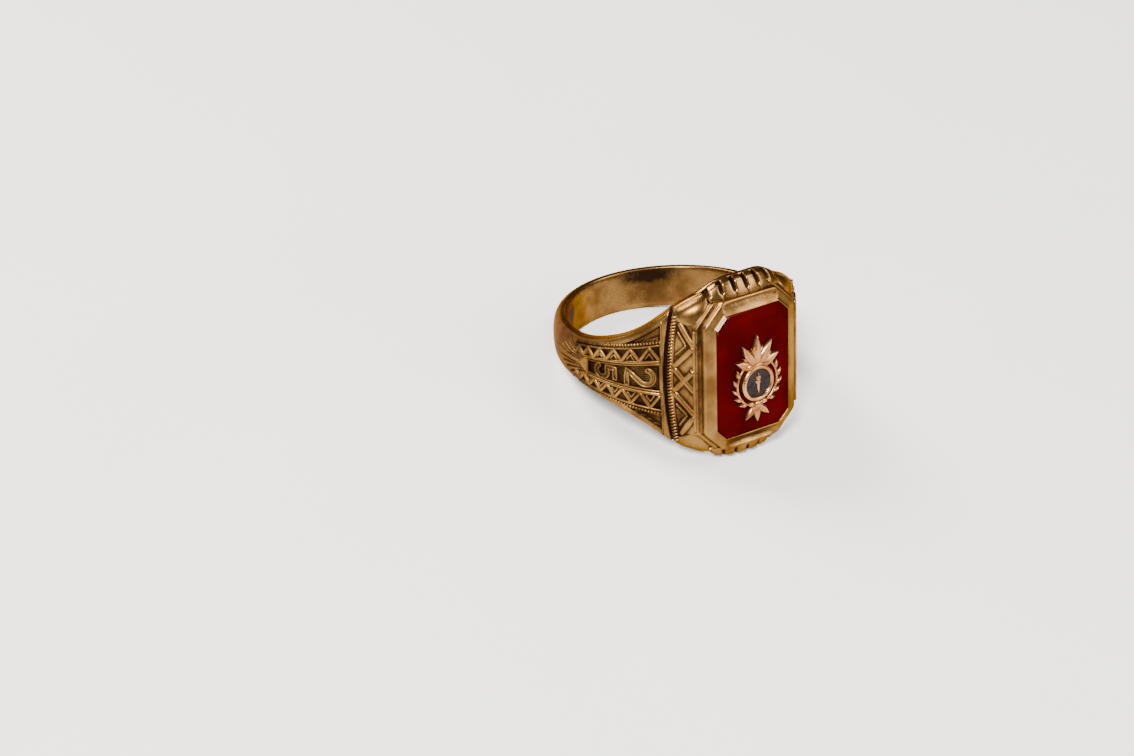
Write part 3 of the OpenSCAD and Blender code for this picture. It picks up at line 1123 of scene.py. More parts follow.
@dataclass
class ShoulderLines:
    """Raised lines of the shoulders: rails, zigzags with small chevrons, and outlined figures.

    A swell is how much thicker than the radius a kind of line is.
    """

    figure_t: tuple = (51.3, 68.6)
    figure_h: tuple = (2.35, 1.85)
    figure_wide: float = 0.95
    figure_swell: float = 0.85
    core_swell: float = 1.4
    core_lift: float = -0.19
    stroke: float = 0.165
    radius: float = 0.1
    sink: float = 0.7
    hatch_pitch: float = 0.17
    hatch_swell: float = 0.42
    hatch_lift: float = 0.03
    cross_swell: float = 1.15
    rail_swell: tuple = (1.8, 1.0)
    inner_swell: float = 0.7
    edge_swell: float = 0.9
    zigzag_swell: float = 1.6
    chevron_swell: float = 0.85
    bead_r: float = 0.135
    bead_pitch: float = 1.45

    def line(self, side: Side, t: np.ndarray, y: np.ndarray, closed: bool = False,
             swell: float | np.ndarray = 1.0) -> Wire:
        """A wire half sunk in a shoulder's face.

        Args:
            side: which shoulder.
            t: angles of its points.
            y: their places along the finger.
            closed: whether it is closed.
            swell: how much thicker it is than the radius, all along or at each point.

        Returns:
            The wire.
        """
        return on_face(side, np.asarray(t), np.asarray(y), -self.sink * self.radius), closed, swell

    def figures(self) -> list:
        """Centre lines of the two plain figures, 1 high with their feet at 0.

        Returns:
            The points of each.
        """
        two = arc(0.3, 0.7, 0.28, 165, -30, 14)
        two += [(0.3, 0.3), (0.04, 0.03), (0.34, 0.03), (0.62, 0.03)]
        five = [(0.56, 0.97), (0.3, 0.97), (0.09, 0.97), (0.07, 0.78), (0.05, 0.56)]
        five += arc(0.3, 0.32, 0.29, 118, -150, 16)
        return [two, five]

    def figure_lines(self, side: Side) -> list[Wire]:
        """The figures of one shoulder, each an outline and a lower core.

        Args:
            side: which shoulder.

        Returns:
            The wires.
        """
        turn = math.degrees(1 / SIZES.face_r)
        wires = []
        for t0, high, shape in zip(self.figure_t, self.figure_h, self.figures()):
            core = np.array([(u * self.figure_wide * high, v * high) for u, v in shape])
            rim = outline(core, self.stroke)
            core_t, rim_t = (t0 - (p[:, 1] - high / 2) * turn for p in (core, rim))
            core_y, rim_y = (p[:, 0] - 0.3 * self.figure_wide * high for p in (core, rim))
            wires.append(self.line(side, rim_t, rim_y, True, self.figure_swell))
            core = on_face(side, core_t, core_y, self.core_lift)
            wires.append((core, False, self.core_swell))
        return wires

    def hatching(self, side: Side) -> list[Wire]:
        """Fine lines along the panel's floor.

        Args:
            side: which shoulder.

        Returns:
            The wires.
        """
        first, last = RELIEF.panel
        wires = []
        for y in np.arange(-1.1, 1.11, self.hatch_pitch):
            far = np.interp(abs(y), [0.62, 1.2], [last - 0.6, first + 8])
            t = np.linspace(first + 0.4, far, 30)
            path = on_face(side, t, np.full(30, y), self.hatch_lift - SIZES.relief)
            wires.append((path, False, self.hatch_swell))
        return wires

    def cross_rails(self, side: Side) -> list[Wire]:
        """The panel's two ends, and the rail across the shoulder beside the head.

        Args:
            side: which shoulder.

        Returns:
            The wires.
        """
        ends = np.linspace(-1, 1, 9)
        wires = [self.line(side, np.full(9, t), ends * RELIEF.panel_y(t))
                 for t in (RELIEF.panel[0] - 0.3, RELIEF.panel[1])]
        across = np.linspace(-5.0, 5.0, 21)
        beside = np.full(21, RELIEF.start)
        return wires + [self.line(side, beside, across, swell=self.cross_swell)]

    def long_rails(self, side: Side, m: int) -> list[Wire]:
        """The rails along one side of the panel, which end in a sweep, and along its strip.

        Args:
            side: which shoulder.
            m: 1 or -1 for the side of the panel.

        Returns:
            The wires.
        """
        end = RELIEF.panel[1]
        panel_t = np.linspace(RELIEF.panel[0] - 0.5, end, 30)
        strip_t = np.linspace(RELIEF.strip[0] - 0.5, RELIEF.strip[1], 36)
        edge_t = np.linspace(41.2, 66.5, 24)
        sweep_t = np.linspace(end, 93, 14)
        bend = RELIEF.panel_y(end) + 0.95 * ((sweep_t - end) / 13.5) ** 1.6
        rail_t = np.concatenate([panel_t, sweep_t[1:]])
        rail_y = np.concatenate([RELIEF.panel_y(panel_t), bend[1:]])
        return [
            self.line(side, rail_t, m * rail_y, swell=np.linspace(*self.rail_swell, len(rail_t))),
            self.line(side, panel_t, m * (RELIEF.panel_y(panel_t) - 0.24), swell=self.inner_swell),
            self.line(side, strip_t, m * (RELIEF.strip_y(strip_t) - 0.27)),
            self.line(side, edge_t, m * RELIEF.edge_y(edge_t), swell=self.edge_swell),
        ]

    def zigzag(self, side: Side, m: int) -> list[Wire]:
        """The zigzag of one strip, with a small chevron inside each tooth.

        Args:
            side: which shoulder.
            m: 1 or -1 for the side of the panel.

        Returns:
            The wires.
        """
        feet = [(RELIEF.tooth_t(k), 0) for k in range(RELIEF.teeth + 1)]
        tips = [((a[0] + b[0]) / 2, 1) for a, b in zip(feet, feet[1:])]
        corners = [feet[0]] + [c for pair in zip(tips, feet[1:]) for c in pair]

        def at(t: float, share: float) -> float:
            """Place between the strip's inner and outer rails."""
            low, high = RELIEF.panel_y(t) + 0.1, RELIEF.strip_y(t) - 0.36
            return m * (low + (high - low) * share)

        path = dense(np.array([(t, at(t, s)) for t, s in corners]), 0.8)
        wires = [self.line(side, path[:, 0], path[:, 1], swell=self.zigzag_swell)]
        for a, b in zip(feet, feet[1:]):
            mid, span = (a[0] + b[0]) / 2, (b[0] - a[0]) * 0.22
            small = [(mid - span, at(mid, 0.1)), (mid, at(mid, 0.55)), (mid + span, at(mid, 0.1))]
            small = dense(np.array(small), 0.6)
            wires.append(self.line(side, small[:, 0], small[:, 1], swell=self.chevron_swell))
        return wires

    def wires(self, side: Side) -> list[Wire]:
        """All thin lines of one shoulder.

        Args:
            side: which shoulder.

        Returns:
            The wires.
        """
        wires = self.figure_lines(side) + self.hatching(side) + self.cross_rails(side)
        for m in BOTH:
            wires += self.long_rails(side, m) + self.zigzag(side, m)
        return wires

    def beads(self, side: Side) -> np.ndarray:
        """Places of the small beads that edge the strips."""
        t = np.arange(RELIEF.strip[0] - 0.3, RELIEF.strip[1] - 1, self.bead_pitch)
        return np.concatenate([on_face(side, t, m * RELIEF.strip_y(t), -0.05) for m in BOTH])

    def darkening(self, own: np.ndarray) -> np.ndarray:
        """Patina of the lines: darker down towards the sunk floor."""
        low, high = SIZES.floor_r + 0.1, SIZES.floor_r + 0.27
        return 0.28 + 0.42 * (1 - step(np.hypot(own[:, 0], own[:, 2]), low, high))

    def build(self, wires: WireTree, beads: BeadTree) -> bpy.types.Object:
        """Builds the lines and beads of both shoulders.

        Args:
            wires: the tree that sweeps the lines.
            beads: the tree that scatters the beads.

        Returns:
            The new object.
        """
        paths = [p for side in Side for p in self.wires(side)]
        places = np.concatenate([self.beads(side) for side in Side])
        lines = wires.sweep("shoulder_lines", paths, self.radius)
        dots = beads.scatter("shoulder_dots", places, self.bead_r)
        return tint(joined("shoulder_relief", [lines, dots]), self.darkening)


def corners(x: float, y: float, cut: float) -> np.ndarray:
    """The eight corners of a rectangle with cut corners.

    Args:
        x: half its width across the finger.
        y: half its length along the finger.
        cut: leg of each cut corner.

    Returns:
        A row of two places for each corner.
    """
    return np.array([(x, cut - y), (x, y - cut), (x - cut, y), (cut - x, y),
                     (-x, y - cut), (-x, cut - y), (cut - x, -y), (x - cut, -y)])


def octagon(x: float, y: float, cut: float, z: float, fillet: float,
            side_points: int) -> np.ndarray:
    """A rectangle with cut corners and softened vertices.

    Args:
        x: half its width across the finger.
        y: half its length along the finger.
        cut: leg of each cut corner.
        z: its height over the finger's axis.
        fillet: how much of each side the softened vertex takes.
        side_points: points on each side.

    Returns:
        The loop's points, one row each.
    """
    corner, out = corners(x, y, cut), []
    for k in range(8):
        before, here, after = corner[k - 1], corner[k], corner[(k + 1) % 8]
        back, reach = np.linalg.norm(before - here), np.linalg.norm(after - here)
        into, away = (before - here) / back, (after - here) / reach
        room = min(fillet, 0.4 * back, 0.4 * reach)
        for s in np.linspace(0, 1, 5):
            out.append(here + into * room * (1 - s) ** 2 + away * room * s**2)
        for s in np.linspace(room, reach - min(fillet, 0.4 * reach), side_points + 2)[1:-1]:
            out.append(here + away * s)
    ring = np.array(out)
    return np.column_stack([ring[:, 0], ring[:, 1], np.full(len(ring), z)])


@dataclass
class Bezel:
    """The raised head: bowed walls with a crossed pattern, a flat strip and the rail at the stone."""

    wall_x: float = 6.02
    wall_end_x: float = 5.4
    wall_y: float = 5.5
    wall_z: float = 8.1
    strip_x: float = 4.92
    strip_y: float = 6.36
    strip_z: float = 9.72
    rail_x: float = 4.42
    rail_y: float = 6.375
    rail_cut: float = 1.8
    inside: tuple = (3.0, 5.2, 0.1, 9.15)
    inside_r: float = 9.2
    side_points: int = 56
    wall_rows: int = 13
    wall_tall: float = 2.03
    bar_r: float = 0.15
    bar_half: float = 0.13
    bar_swell: float = 2.2
    bar_lift: float = -0.16
    bar_tone: float = 0.05
    chevron_swell: float = 0.7
    chevron_lift: float = -0.04
    rib_r: float = 0.112
    rib_pitch: float = 0.264

    def bow(self, y: np.ndarray) -> np.ndarray:
        """Half width of the bowed wall's foot."""
        return self.wall_end_x + (self.wall_x - self.wall_end_x) * (1 - (y / self.wall_y) ** 2)

    def foot(self, z: float, grow: float) -> np.ndarray:
        """The wall's foot loop, kept inside the band's metal and clear of the finger's hollow.

        Args:
            z: its height where the band is lower than that.
            grow: how far it stands out past the wall.

        Returns:
            The loop.
        """
        ring = octagon(self.wall_x + 0.3, self.wall_y, 0.12, z, 0.05, self.side_points)
        half = self.bow(ring[:, 1]) + grow
        ring[:, 0] = np.clip(ring[:, 0], -half, half)
        ring[:, 2] = np.maximum(z, np.sqrt(np.maximum(self.inside_r**2 - ring[:, 0] ** 2, 0)))
        return ring

    def profile(self) -> list:
        """Loops of the strip and the rail, from the wall's top over the lip and down to the seat.

        Returns:
            Rows of half width, half length, leg of the cut, height, patina and fillet.
        """
        x, y, c, strip = self.rail_x, self.rail_y, self.rail_cut, self.strip_z
        w, l, cut, lip = SIZES.stone_w / 2, SIZES.stone_l / 2, SIZES.stone_cut, SIZES.lip_z
        wide, tight = 0.32, 0.1
        return [
            (self.strip_x, self.strip_y, 1.95, strip, 0.3, wide),
            (self.strip_x - 0.04, self.strip_y, 1.93, strip + 0.06, 0.1, wide),
            (x + 0.22, y - 0.02, c + 0.09, strip + 0.02, 0.3, wide),
            (x + 0.1, y - 0.03, c + 0.04, strip + 0.02, 0.62, wide),
            (x + 0.02, y - 0.02, c + 0.01, strip + 0.12, 0.5, wide),
            (x, y - 0.01, c, strip + 0.24, 0.22, wide),
            (x, y, c, lip - 0.42, 0.05, wide),
            (x - 0.05, y - 0.05, c - 0.03, lip - 0.335, 0.0, wide),
            (x - 0.16, y - 0.16, c - 0.1, lip - 0.30, 0.0, wide),
            (x - 0.28, y - 0.31, c - 0.22, lip - 0.27, 0.05, wide),
            (x - 0.42, y - 0.5, c - 0.38, lip - 0.235, 0.1, wide),
            (x - 0.6, y - 0.72, c - 0.56, lip - 0.185, 0.06, wide),
            (w + 0.17, l + 0.2, cut + 0.12, lip - 0.13, 0.1, tight),
            (w + 0.1, l + 0.11, cut + 0.05, lip - 0.02, 0.0, tight),
            (w + 0.06, l + 0.06, cut, lip, 0.0, tight),
            (w + 0.035, l + 0.035, cut, lip - 0.03, 0.3, tight),
            (w + 0.03, l + 0.03, cut, lip - 1.1, 1.0, tight),
        ]

    def scoop(self, loop: np.ndarray, reach: float) -> np.ndarray:
        """The hollow that wear has left in the middle of the rail's two ends.

        Args:
            loop: a loop of the rail.
            reach: its half length.

        Returns:
            A share from 0 to 1 of the hollow's full depth at each point.
        """
        end = step(np.abs(loop[:, 1]), reach - 0.08, reach - 0.02)
        return end * np.clip(1 - (loop[:, 0] / 2.6) ** 2, 0, 1) ** 0.6

    def frame(self) -> bpy.types.Object:
        """The head's frame as one closed stack of loops, from its foot up and down into the seat.

        Returns:
            The new object.
        """
        rail, tones = [], []
        for hx, hy, cut, z, tone, fillet in self.profile():
            loop = octagon(hx, hy, cut, z, fillet, self.side_points)
            if self.rail_y - 0.8 < hy < self.rail_y - 0.2:
                scoop = self.scoop(loop, hy)
                loop[:, 2] -= (0.3 if hy > self.rail_y - 0.6 else 0.15) * scoop
                tone = tone + 0.42 * scoop
            rail.append(loop)
            tones.append(tone)
        foot = [octagon(*self.inside, 0.05, self.side_points),
                self.foot(self.wall_z - 0.3, 0.1), self.foot(self.wall_z, 0.0)]
        shares = np.linspace(0, 1, self.wall_rows + 2)[1:-1]
        wall = [foot[-1] + (rail[0] - foot[-1]) * k for k in shares]
        shade = [self.wall_tone(loop[:, 1], k) for loop, k in zip(wall, shares)]
        return stacked("bezel_frame", foot + wall + rail, [0.6, 0.6, 0.5] + shade + tones)

    def wall_point(self, side: Side, y: float, h: float, lift: float) -> tuple:
        """A point on a side wall.

        Args:
            side: which wall.
            y: its place along the finger.
            h: its share of the wall's height.
            lift: how far it stands out, below 0 to sink.

        Returns:
            The point.
        """
        low = np.array([self.bow(np.float64(y)), self.wall_z])
        high = np.array([self.strip_x, self.strip_z])
        out = np.array([high[1] - low[1], low[0] - high[0]])
        p = low + (high - low) * h + out / np.linalg.norm(out) * lift
        return side.value * p[0], y * side.value, p[1]

    def bars(self) -> list:
        """The bars of a wall: one cross in its middle, and a bar, a bar and a chevron to each side.

        Returns:
            For each bar its two ends, as place along the wall and share of its height, and its
            swell.
        """
        low, high, wide, thin = 0.04, 0.96, self.bar_swell, self.chevron_swell
        bars = [((-1.05, low), (0.95, high), wide), ((1.05, low), (-0.95, high), wide)]
        for m in BOTH:
            bars += [((1.05 * m, low), (2.95 * m, high), wide),
                     ((2.95 * m, high), (4.9 * m, 0.13), wide),
                     ((2.05 * m, 0.1), (3.0 * m, 0.6), thin),
                     ((3.0 * m, 0.6), (4.1 * m, 0.13), thin)]
        return bars

    def wall_tone(self, y: np.ndarray, h: float) -> np.ndarray:
        """Patina of the wall: full beside the bars, thinner between them.

        Args:
            y: places along the wall.
            h: share of its height.

        Returns:
            The patina at each place.
        """
        near = np.full(len(y), 9.0)
        for (ya, ha), (yb, hb), swell in self.bars():
            d = np.array([yb - ya, (hb - ha) * self.wall_tall])
            p = np.column_stack([y - ya, np.full(len(y), (h - ha) * self.wall_tall)])
            share = np.clip(p @ d / (d @ d), 0, 1)
            away = np.hypot(*(p - share[:, None] * d).T) - self.bar_half * swell
            near = np.minimum(near, away)
        return 0.34 + 0.38 * (1 - step(near, 0.0, 0.3))

    def wall_wires(self, side: Side) -> list[Wire]:
        """The crossed bars of one wall, and the rails along its foot and its top.

        Args:
            side: which wall.

        Returns:
            The wires.
        """
        wires = []
        for (ya, ha), (yb, hb), swell in self.bars():
            lift = self.chevron_lift if swell == self.chevron_swell else self.bar_lift
            path = [self.wall_point(side, ya + (yb - ya) * s, ha + (hb - ha) * s, lift)
                    for s in np.linspace(0, 1, 8)]
            wires.append((np.array(path), False, swell))
        for h, reach, swell in ((0.03, 5.0, 0.8), (0.97, 4.35, 0.9)):
            path = [self.wall_point(side, y, h, 0.02) for y in np.linspace(-reach, reach, 31)]
            wires.append((np.array(path), False, swell))
        return wires

    def ribs(self, side: Side) -> list[Wire]:
        """The row of short slanting ribs along one wall's foot.

        Args:
            side: which wall.

        Returns:
            The wires.
        """
        lean = np.linspace(-0.5, 0.5, 4)
        wires = []
        for y in np.arange(-5.28, 5.3, self.rib_pitch):
            t = side.value * (RELIEF.groove_t(y) - 1.85)
            path = polar(t + lean * 2.8, np.full(4, SIZES.face_r + 0.13), y + lean * 0.09)
            wires.append((path, False, np.array([0.55, 1.0, 1.0, 0.55])))
        return wires

    def rib_grime(self, own: np.ndarray) -> np.ndarray:
        """Patina of the ribs: dark at their feet."""
        r = np.hypot(own[:, 0], own[:, 2])
        return 0.9 * (1 - step(r, SIZES.face_r + 0.05, SIZES.face_r + 0.17))

    def lines(self, wires: WireTree) -> bpy.types.Object:
        """Raised crossed bars on the walls, and the row of ribs along their foot.

        Args:
            wires: the tree that sweeps them.

        Returns:
            The new object.
        """
        bars = wires.sweep("wall_lines", [w for s in Side for w in self.wall_wires(s)], self.bar_r)
        ribs = wires.sweep("wall_ribs", [w for s in Side for w in self.ribs(s)], self.rib_r)
        tint(bars, lambda own: np.full(len(own), self.bar_tone))
        tint(ribs, self.rib_grime)
        return joined("wall_relief", [bars, ribs])


@dataclass
class HeadEnds:
    """The two short ends of the head: a row of bars and a smooth lobe at each corner."""

    bars: int = 6
    start_y: float = 6.25
    top_r: float = 10.2
    low_r: float = 9.0
    inset: float = 0.06
    slant: float = -1.6
    upper_reach: float = 0.44
    tip_y: float = 4.45

    def reach(self, t: np.ndarray, end: int) -> np.ndarray:
        """How far along the finger the bars go at an angle t; the upper end bulges a little."""
        more = self.upper_reach * (1 - step(np.abs(t), 13, 29)) if end > 0 else 0.0
        return half_width(t) - self.inset + more

    def shell(self, t: np.ndarray, high: np.ndarray, y: np.ndarray) -> np.ndarray:
        """One loop of a raised form: over its top and back along its flat underside."""
        low = np.full(len(t), self.low_r)
        return np.concatenate([polar(t, high, y), polar(t, low, y)[::-1]])

    def bar(self, k: int, end: int) -> bpy.types.Object:
        """One flat-topped bar, one with its neighbours beside the bezel and free towards the rim.

        Args:
            k: its number in the row.
            end: 1 for the upper end of the head and -1 for the lower one.

        Returns:
            The bar as a closed shape.
        """
        points = 17
        middle = (k - (self.bars - 1) / 2) * SIZES.bar_pitch
        across = np.sin(np.radians(np.linspace(-87.5, 87.5, points)))
        shape = (1 - np.abs(across) ** 8) ** (1 / 8)
        loops, shade = [], []
        for s in (0, 0.12, 0.24, 0.32, 0.38, 0.44, 0.52, 0.62, 0.74, 0.84, 0.91, 0.96, 1.0):
            parted, narrow = float(step(s, 0.3, 0.44)), float(step(s, 0.5, 1.0))
            half = SIZES.bar_pitch * (0.6 - 0.2 * parted - 0.06 * narrow)
            top = self.top_r - 0.46 * s**1.6 - 0.3 * float(step(s, 0.84, 1.04))
            t = middle + end * self.slant * (s - 0.5) + across * half
            y = end * (self.start_y + (self.reach(t, end) - 0.03 - self.start_y) * s)
            loops.append(self.shell(t, self.low_r + (top - self.low_r) * shape, y))
            side = 0.9 * (1 - step(shape, 0.72, 0.95)) * float(step(s, 0.34, 0.42))
            shade.append(np.concatenate([side, np.full(points, 0.9)]))
        return stacked("bar", loops, shade)

    def rim(self, end: int) -> bpy.types.Object:
        """The low edge that closes the gaps between the bars at the head's rim.

        Args:
            end: 1 for the upper end of the head and -1 for the lower one.

        Returns:
            The edge as a closed shape.
        """
        back = np.array([-0.62, -0.6, -0.2, -0.06, 0.0, 0.0, -0.06])
        r = np.array([8.78, 9.0, 9.2, 9.24, 9.12, 8.9, 8.78])
        shade = np.array([0, 1, 0.5, 0, 0, 0, 0])
        loops = []
        for t in np.linspace(-25, 25, 41):
            y = end * (float(self.reach(np.array([t]), end)[0]) + back)
            loops.append(polar(np.full(len(r), t), r, y))
        return stacked("rim", loops, [shade] * len(loops))

    def lobe(self, side: int, end: int) -> bpy.types.Object:
        """A smooth domed lobe from a point beside the bezel's strip to the head's edge.

        Args:
            side: 1 or -1 for the side of the head.
            end: 1 for the upper end of the head and -1 for the lower one.

        Returns:
            The lobe as a closed shape.
        """
        # Columns: share of the way to the edge, inner angle and radius, outer angle and radius, dome.
        rows = np.array([
            (0.0, 26.4, 10.56, 27.4, 10.5, 0.02),
            (0.15, 25.3, 10.5, 31.0, 10.25, 0.14),
            (0.35, 22.8, 10.3, 34.4, 10.0, 0.3),
            (0.55, 20.4, 10.1, 35.3, 9.85, 0.42),
            (0.75, 18.9, 9.8, 35.3, 9.7, 0.45),
            (0.9, 19.4, 9.5, 35.0, 9.5, 0.34),
            (1.0, 20.8, 9.2, 34.4, 9.2, 0.06),
        ])
        across = np.linspace(-1, 1, 21)
        share = (across + 1) / 2
        loops = []
        for s in np.linspace(0, 1, 28):
            t0, r0, t1, r1, dome = smooth_rows(rows, np.array([s]))[0]
            t = side * (t0 + share * (t1 - t0))
            y = end * (self.tip_y + s * (half_width(t) - self.inset - self.tip_y))
            top = r0 + share * (r1 - r0) + dome * (1 - across**2) ** 0.5
            loops.append(self.shell(t, top, y))
        return stacked("lobe", loops)

    def lobe_grime(self, own: np.ndarray) -> np.ndarray:
        """Patina of the lobes: only along their edges, beside the bezel and the wall's groove.

        Args:
            own: the vertices in the ring's millimetres.

        Returns:
            The patina of each.
        """
        t, y = np.degrees(np.arctan2(np.abs(own[:, 0]), own[:, 2])), np.abs(own[:, 1])
        border = np.interp(y, [4.4, 5.3, 6.2, 7.2], [26.4, 22.9, 19.0, 18.9])
        inner, outer = 1 - step(t - border, 0.3, 1.3), step(t, 34.2, 35.2)
        return 0.95 * np.maximum(inner, outer) * (1 - 0.6 * step(y, 6.3, 6.8))

    def build(self) -> list:
        """Builds the bars and the four lobes.

        Returns:
            The two new objects.
        """
        bars = [self.bar(k, end) for k in range(self.bars) for end in BOTH]
        rims = [self.rim(end) for end in BOTH]
        lobes = joined("corner_lobes", [self.lobe(side, end) for side in BOTH for end in BOTH])
        return [joined("head_bars", bars + rims), tint(lobes, self.lobe_grime)]


@dataclass
class Stone:
    """The cut-corner stone: a girdle, eight bevels and a flat table."""

    bevel: float = 0.75
    seat_z: float = 9.43
    edge_width: float = 0.025

    def loops(self) -> list:
        """The stone's loops from its back to its table, with points close to each corner.

        Returns:
            An array of points for each loop.
        """
        w, l, cut, lip = SIZES.stone_w / 2, SIZES.stone_l / 2, SIZES.stone_cut, SIZES.lip_z
        levels = [(w, l, cut, self.seat_z), (w, l, cut, lip - 0.09),
                  (w - 0.11, l - 0.11, cut * 0.96, lip + 0.02),
                  (w - 0.187, l - 0.187, cut * 0.935, lip + 0.0512),
                  (w - self.bevel, l - self.bevel, cut * 0.75, SIZES.table_z)]
        loops = []
        for x, y, c, z in levels:
            ring = np.column_stack([corners(x, y, c), np.full(8, z)])
            pairs = zip(ring, np.roll(ring, -1, axis=0))
            loops.append(np.concatenate([[a, a + 0.05 * (b - a), a + 0.95 * (b - a)]
                                         for a, b in pairs]))
        return loops

    def painted_shine(self, own: np.ndarray) -> np.ndarray:
        """Painted reflection: the stone's coat, and so its highlight, is laid full along one cut
        corner's edge and faint elsewhere.

        Args:
            own: the vertices in the ring's millimetres.

        Returns:
            The strength at each.
        """
        x, y, z = own.T
        corner = (y - x > 7.45) & (np.abs(z - SIZES.lip_z + 0.1) < 0.145)
        return np.where(corner, 0.9, 0.02)

    def build(self) -> bpy.types.Object:
        """Builds the stone with slightly softened edges and stores its painted reflection mask.

        Returns:
            The new object.
        """
        made = stacked("red_stone", self.loops())
        soften(made, self.edge_width, 2)
        return tint(made, self.painted_shine)


@dataclass
class Crest:
    """The applied emblem: a palmette, a round medallion with a torch, leaf sprays and a ribbon."""

    shift: float = -0.4
    thick: float = 0.5
    medal_y: float = -0.45
    medal_r: float = 1.55
    field_r: float = 1.2
    gap: float = 0.03
    parts: list = field(default_factory=list)

    @property
    def base_z(self) -> float:
        """Height of the emblem's underside."""
        return SIZES.table_z + self.gap

    def points(self, x: np.ndarray, y: np.ndarray, z: np.ndarray) -> np.ndarray:
        """Points on the emblem.

        Args:
            x: places across it.
            y: places along it.
            z: heights over its underside.

        Returns:
            The points in the ring's millimetres, one row each.
        """
        return np.column_stack(np.broadcast_arrays(x, y + self.shift, self.base_z + z))

    def leaf(self, x: float, y: float, angle: float, length: float, width: float, high: float,
             rise: float) -> None:
        """Adds a pointed leaf with a domed back and a sunk midrib.

        Args:
            x: place of its foot across the emblem.
            y: place of its foot along the emblem.
            angle: its direction in degrees.
            length: its length.
            width: its width.
            high: its height at the middle.
            rise: height of its upright edge.
        """
        across = np.linspace(-1, 1, 9)
        cos, sin = math.cos(math.radians(angle)), math.sin(math.radians(angle))
        loops = []
        for s in np.linspace(0, 1, 15):
            v = across * (width / 2 * max(math.sin(math.pi * s ** 0.85), 0.03))
            bell = math.sin(math.pi * min(max(s, 0.02), 0.98)) ** 0.5
            dome = rise + (high - rise) * bell * (1 - across**2) ** 0.6
            dome = dome - 0.1 * bell * np.exp(-(across / 0.16) ** 2)
            px, py = x + cos * s * length - sin * v, y + sin * s * length + cos * v
            loops.append(np.concatenate([self.points(px, py, dome),
                                         self.points(px, py, 0.0)[::-1]]))
        self.parts.append(stacked("leaf", loops))

    def turned(self, name: str, y: float, profile: list, count: int) -> bpy.types.Object:
        """A turned shape on the emblem's middle line, closed at both ends.

        Args:
            name: its name.
            y: its place along the emblem.
            profile: pairs of radius and height.
            count: points round it.

        Returns:
            The new object.
        """
        a = np.linspace(0, 2 * math.pi, count, endpoint=False)
        return stacked(name, [self.points(r * np.cos(a), y + r * np.sin(a), h) for r, h in profile])

    def palmette(self) -> None:
        """Adds the fan of large and small leaves, with a bar across its foot."""
        t, foot = self.thick, 0.75
        for k in range(-2, 3):
            self.leaf(0, foot, 90 + 33 * k, 2.85 - 0.28 * abs(k), 0.86, t - 0.02, 0.24)
        for k in (-1.5, -0.5, 0.5, 1.5):
            self.leaf(0, foot, 90 + 33 * k, 1.95 - 0.1 * abs(k), 0.5, t - 0.12, 0.2)
        reach, y, high, half = 1.0, 1.1, t - 0.02, 0.13
        loops = []
        for z, grow in ((0, 0.04), (high * 0.7, 0.02), (high, -0.04)):
            x = np.array([-1, 1, 1, -1]) * (reach + grow)
            loops.append(self.points(x, y + np.array([1, 1, -1, -1]) * (half + grow), z))
        self.parts.append(stacked("bar", loops))

    def medallion(self, beads: BeadTree) -> None:
        """Adds the round medallion with its ring of beads and the torch in its field.

        Args:
            beads: the tree that scatters the beads.
        """
        t, y, edge, rim = self.thick, self.medal_y, self.medal_r, self.field_r
        self.parts.append(self.turned("disc", y, [
            (edge, 0), (edge, 0.34), (edge - 0.06, 0.44), (edge - 0.15, t), (rim + 0.08, t),
            (rim, t - 0.06), (rim, t - 0.2), (0.02, t - 0.2)], 64))
        a, r = np.radians(np.linspace(0, 360, 40, endpoint=False)), (edge + rim) / 2
        around = self.points(r * np.cos(a), y + r * np.sin(a), t - 0.05)
        self.parts.append(beads.scatter("medal_beads", around, 0.075))
        a = np.linspace(0, math.pi, 9)
        handle = [(-0.85, 0.1), (-0.4, 0.13), (0.0, 0.18), (0.04, 0.28), (0.16, 0.3), (0.2, 0.2)]
        self.parts.append(stacked("torch", [
            self.points(half * np.cos(a), y + up, t - 0.22 + 0.19 * np.sin(a))
            for up, half in handle]))
        for angle, length in ((90, 0.72), (112, 0.55), (68, 0.55)):
            self.leaf(0, y + 0.14, angle, length, 0.26, t - 0.01, t - 0.16)

    def sprays(self, wires: WireTree) -> None:
        """Adds the two sprays of leaves round the medallion, each on a thin stem.

        Args:
            wires: the tree that sweeps the stems.
        """
        stems = [np.array(arc(0, self.medal_y, self.medal_r + 0.38, 90 + m * 40, 90 + m * 172, 22))
                 for m in BOTH]
        paths = [(self.points(stem[:, 0], stem[:, 1], 0.2), False, 1.0) for stem in stems]
        self.parts.append(wires.sweep("stems", paths, 0.1))
        r = self.medal_r + 0.36
        for m in BOTH:
            for k in range(6):
                a = 90 + m * (150 - 20 * k)
                x, y = r * math.cos(math.radians(a)), r * math.sin(math.radians(a))
                self.leaf(x, self.medal_y + y, a - m * 62, 0.82, 0.34, 0.4, 0.16)

    def ribbon(self) -> None:
        """Adds the knotted ribbon under the medallion, with two loops and three ends."""
        y = self.medal_y - self.medal_r - 0.3
        for m in (-1, 0, 1):
            self.leaf(0, y, -90 + 46 * m, 1.52 + 0.1 * abs(m), 0.6, 0.4, 0.2)
        for m in BOTH:
            self.leaf(0.1 * m, y, 90 - 78 * m, 1.0, 0.46, 0.42, 0.2)
        knot = [(0.34, 0), (0.34, 0.3), (0.28, 0.42), (0.16, 0.48), (0.02, 0.49)]
        self.parts.append(self.turned("knot", y, knot, 24))

    def darkening(self, own: np.ndarray) -> np.ndarray:
        """Patina of the emblem: dark at its foot."""
        return 0.8 * (1 - step(own[:, 2] - self.base_z, 0.1, 0.3))

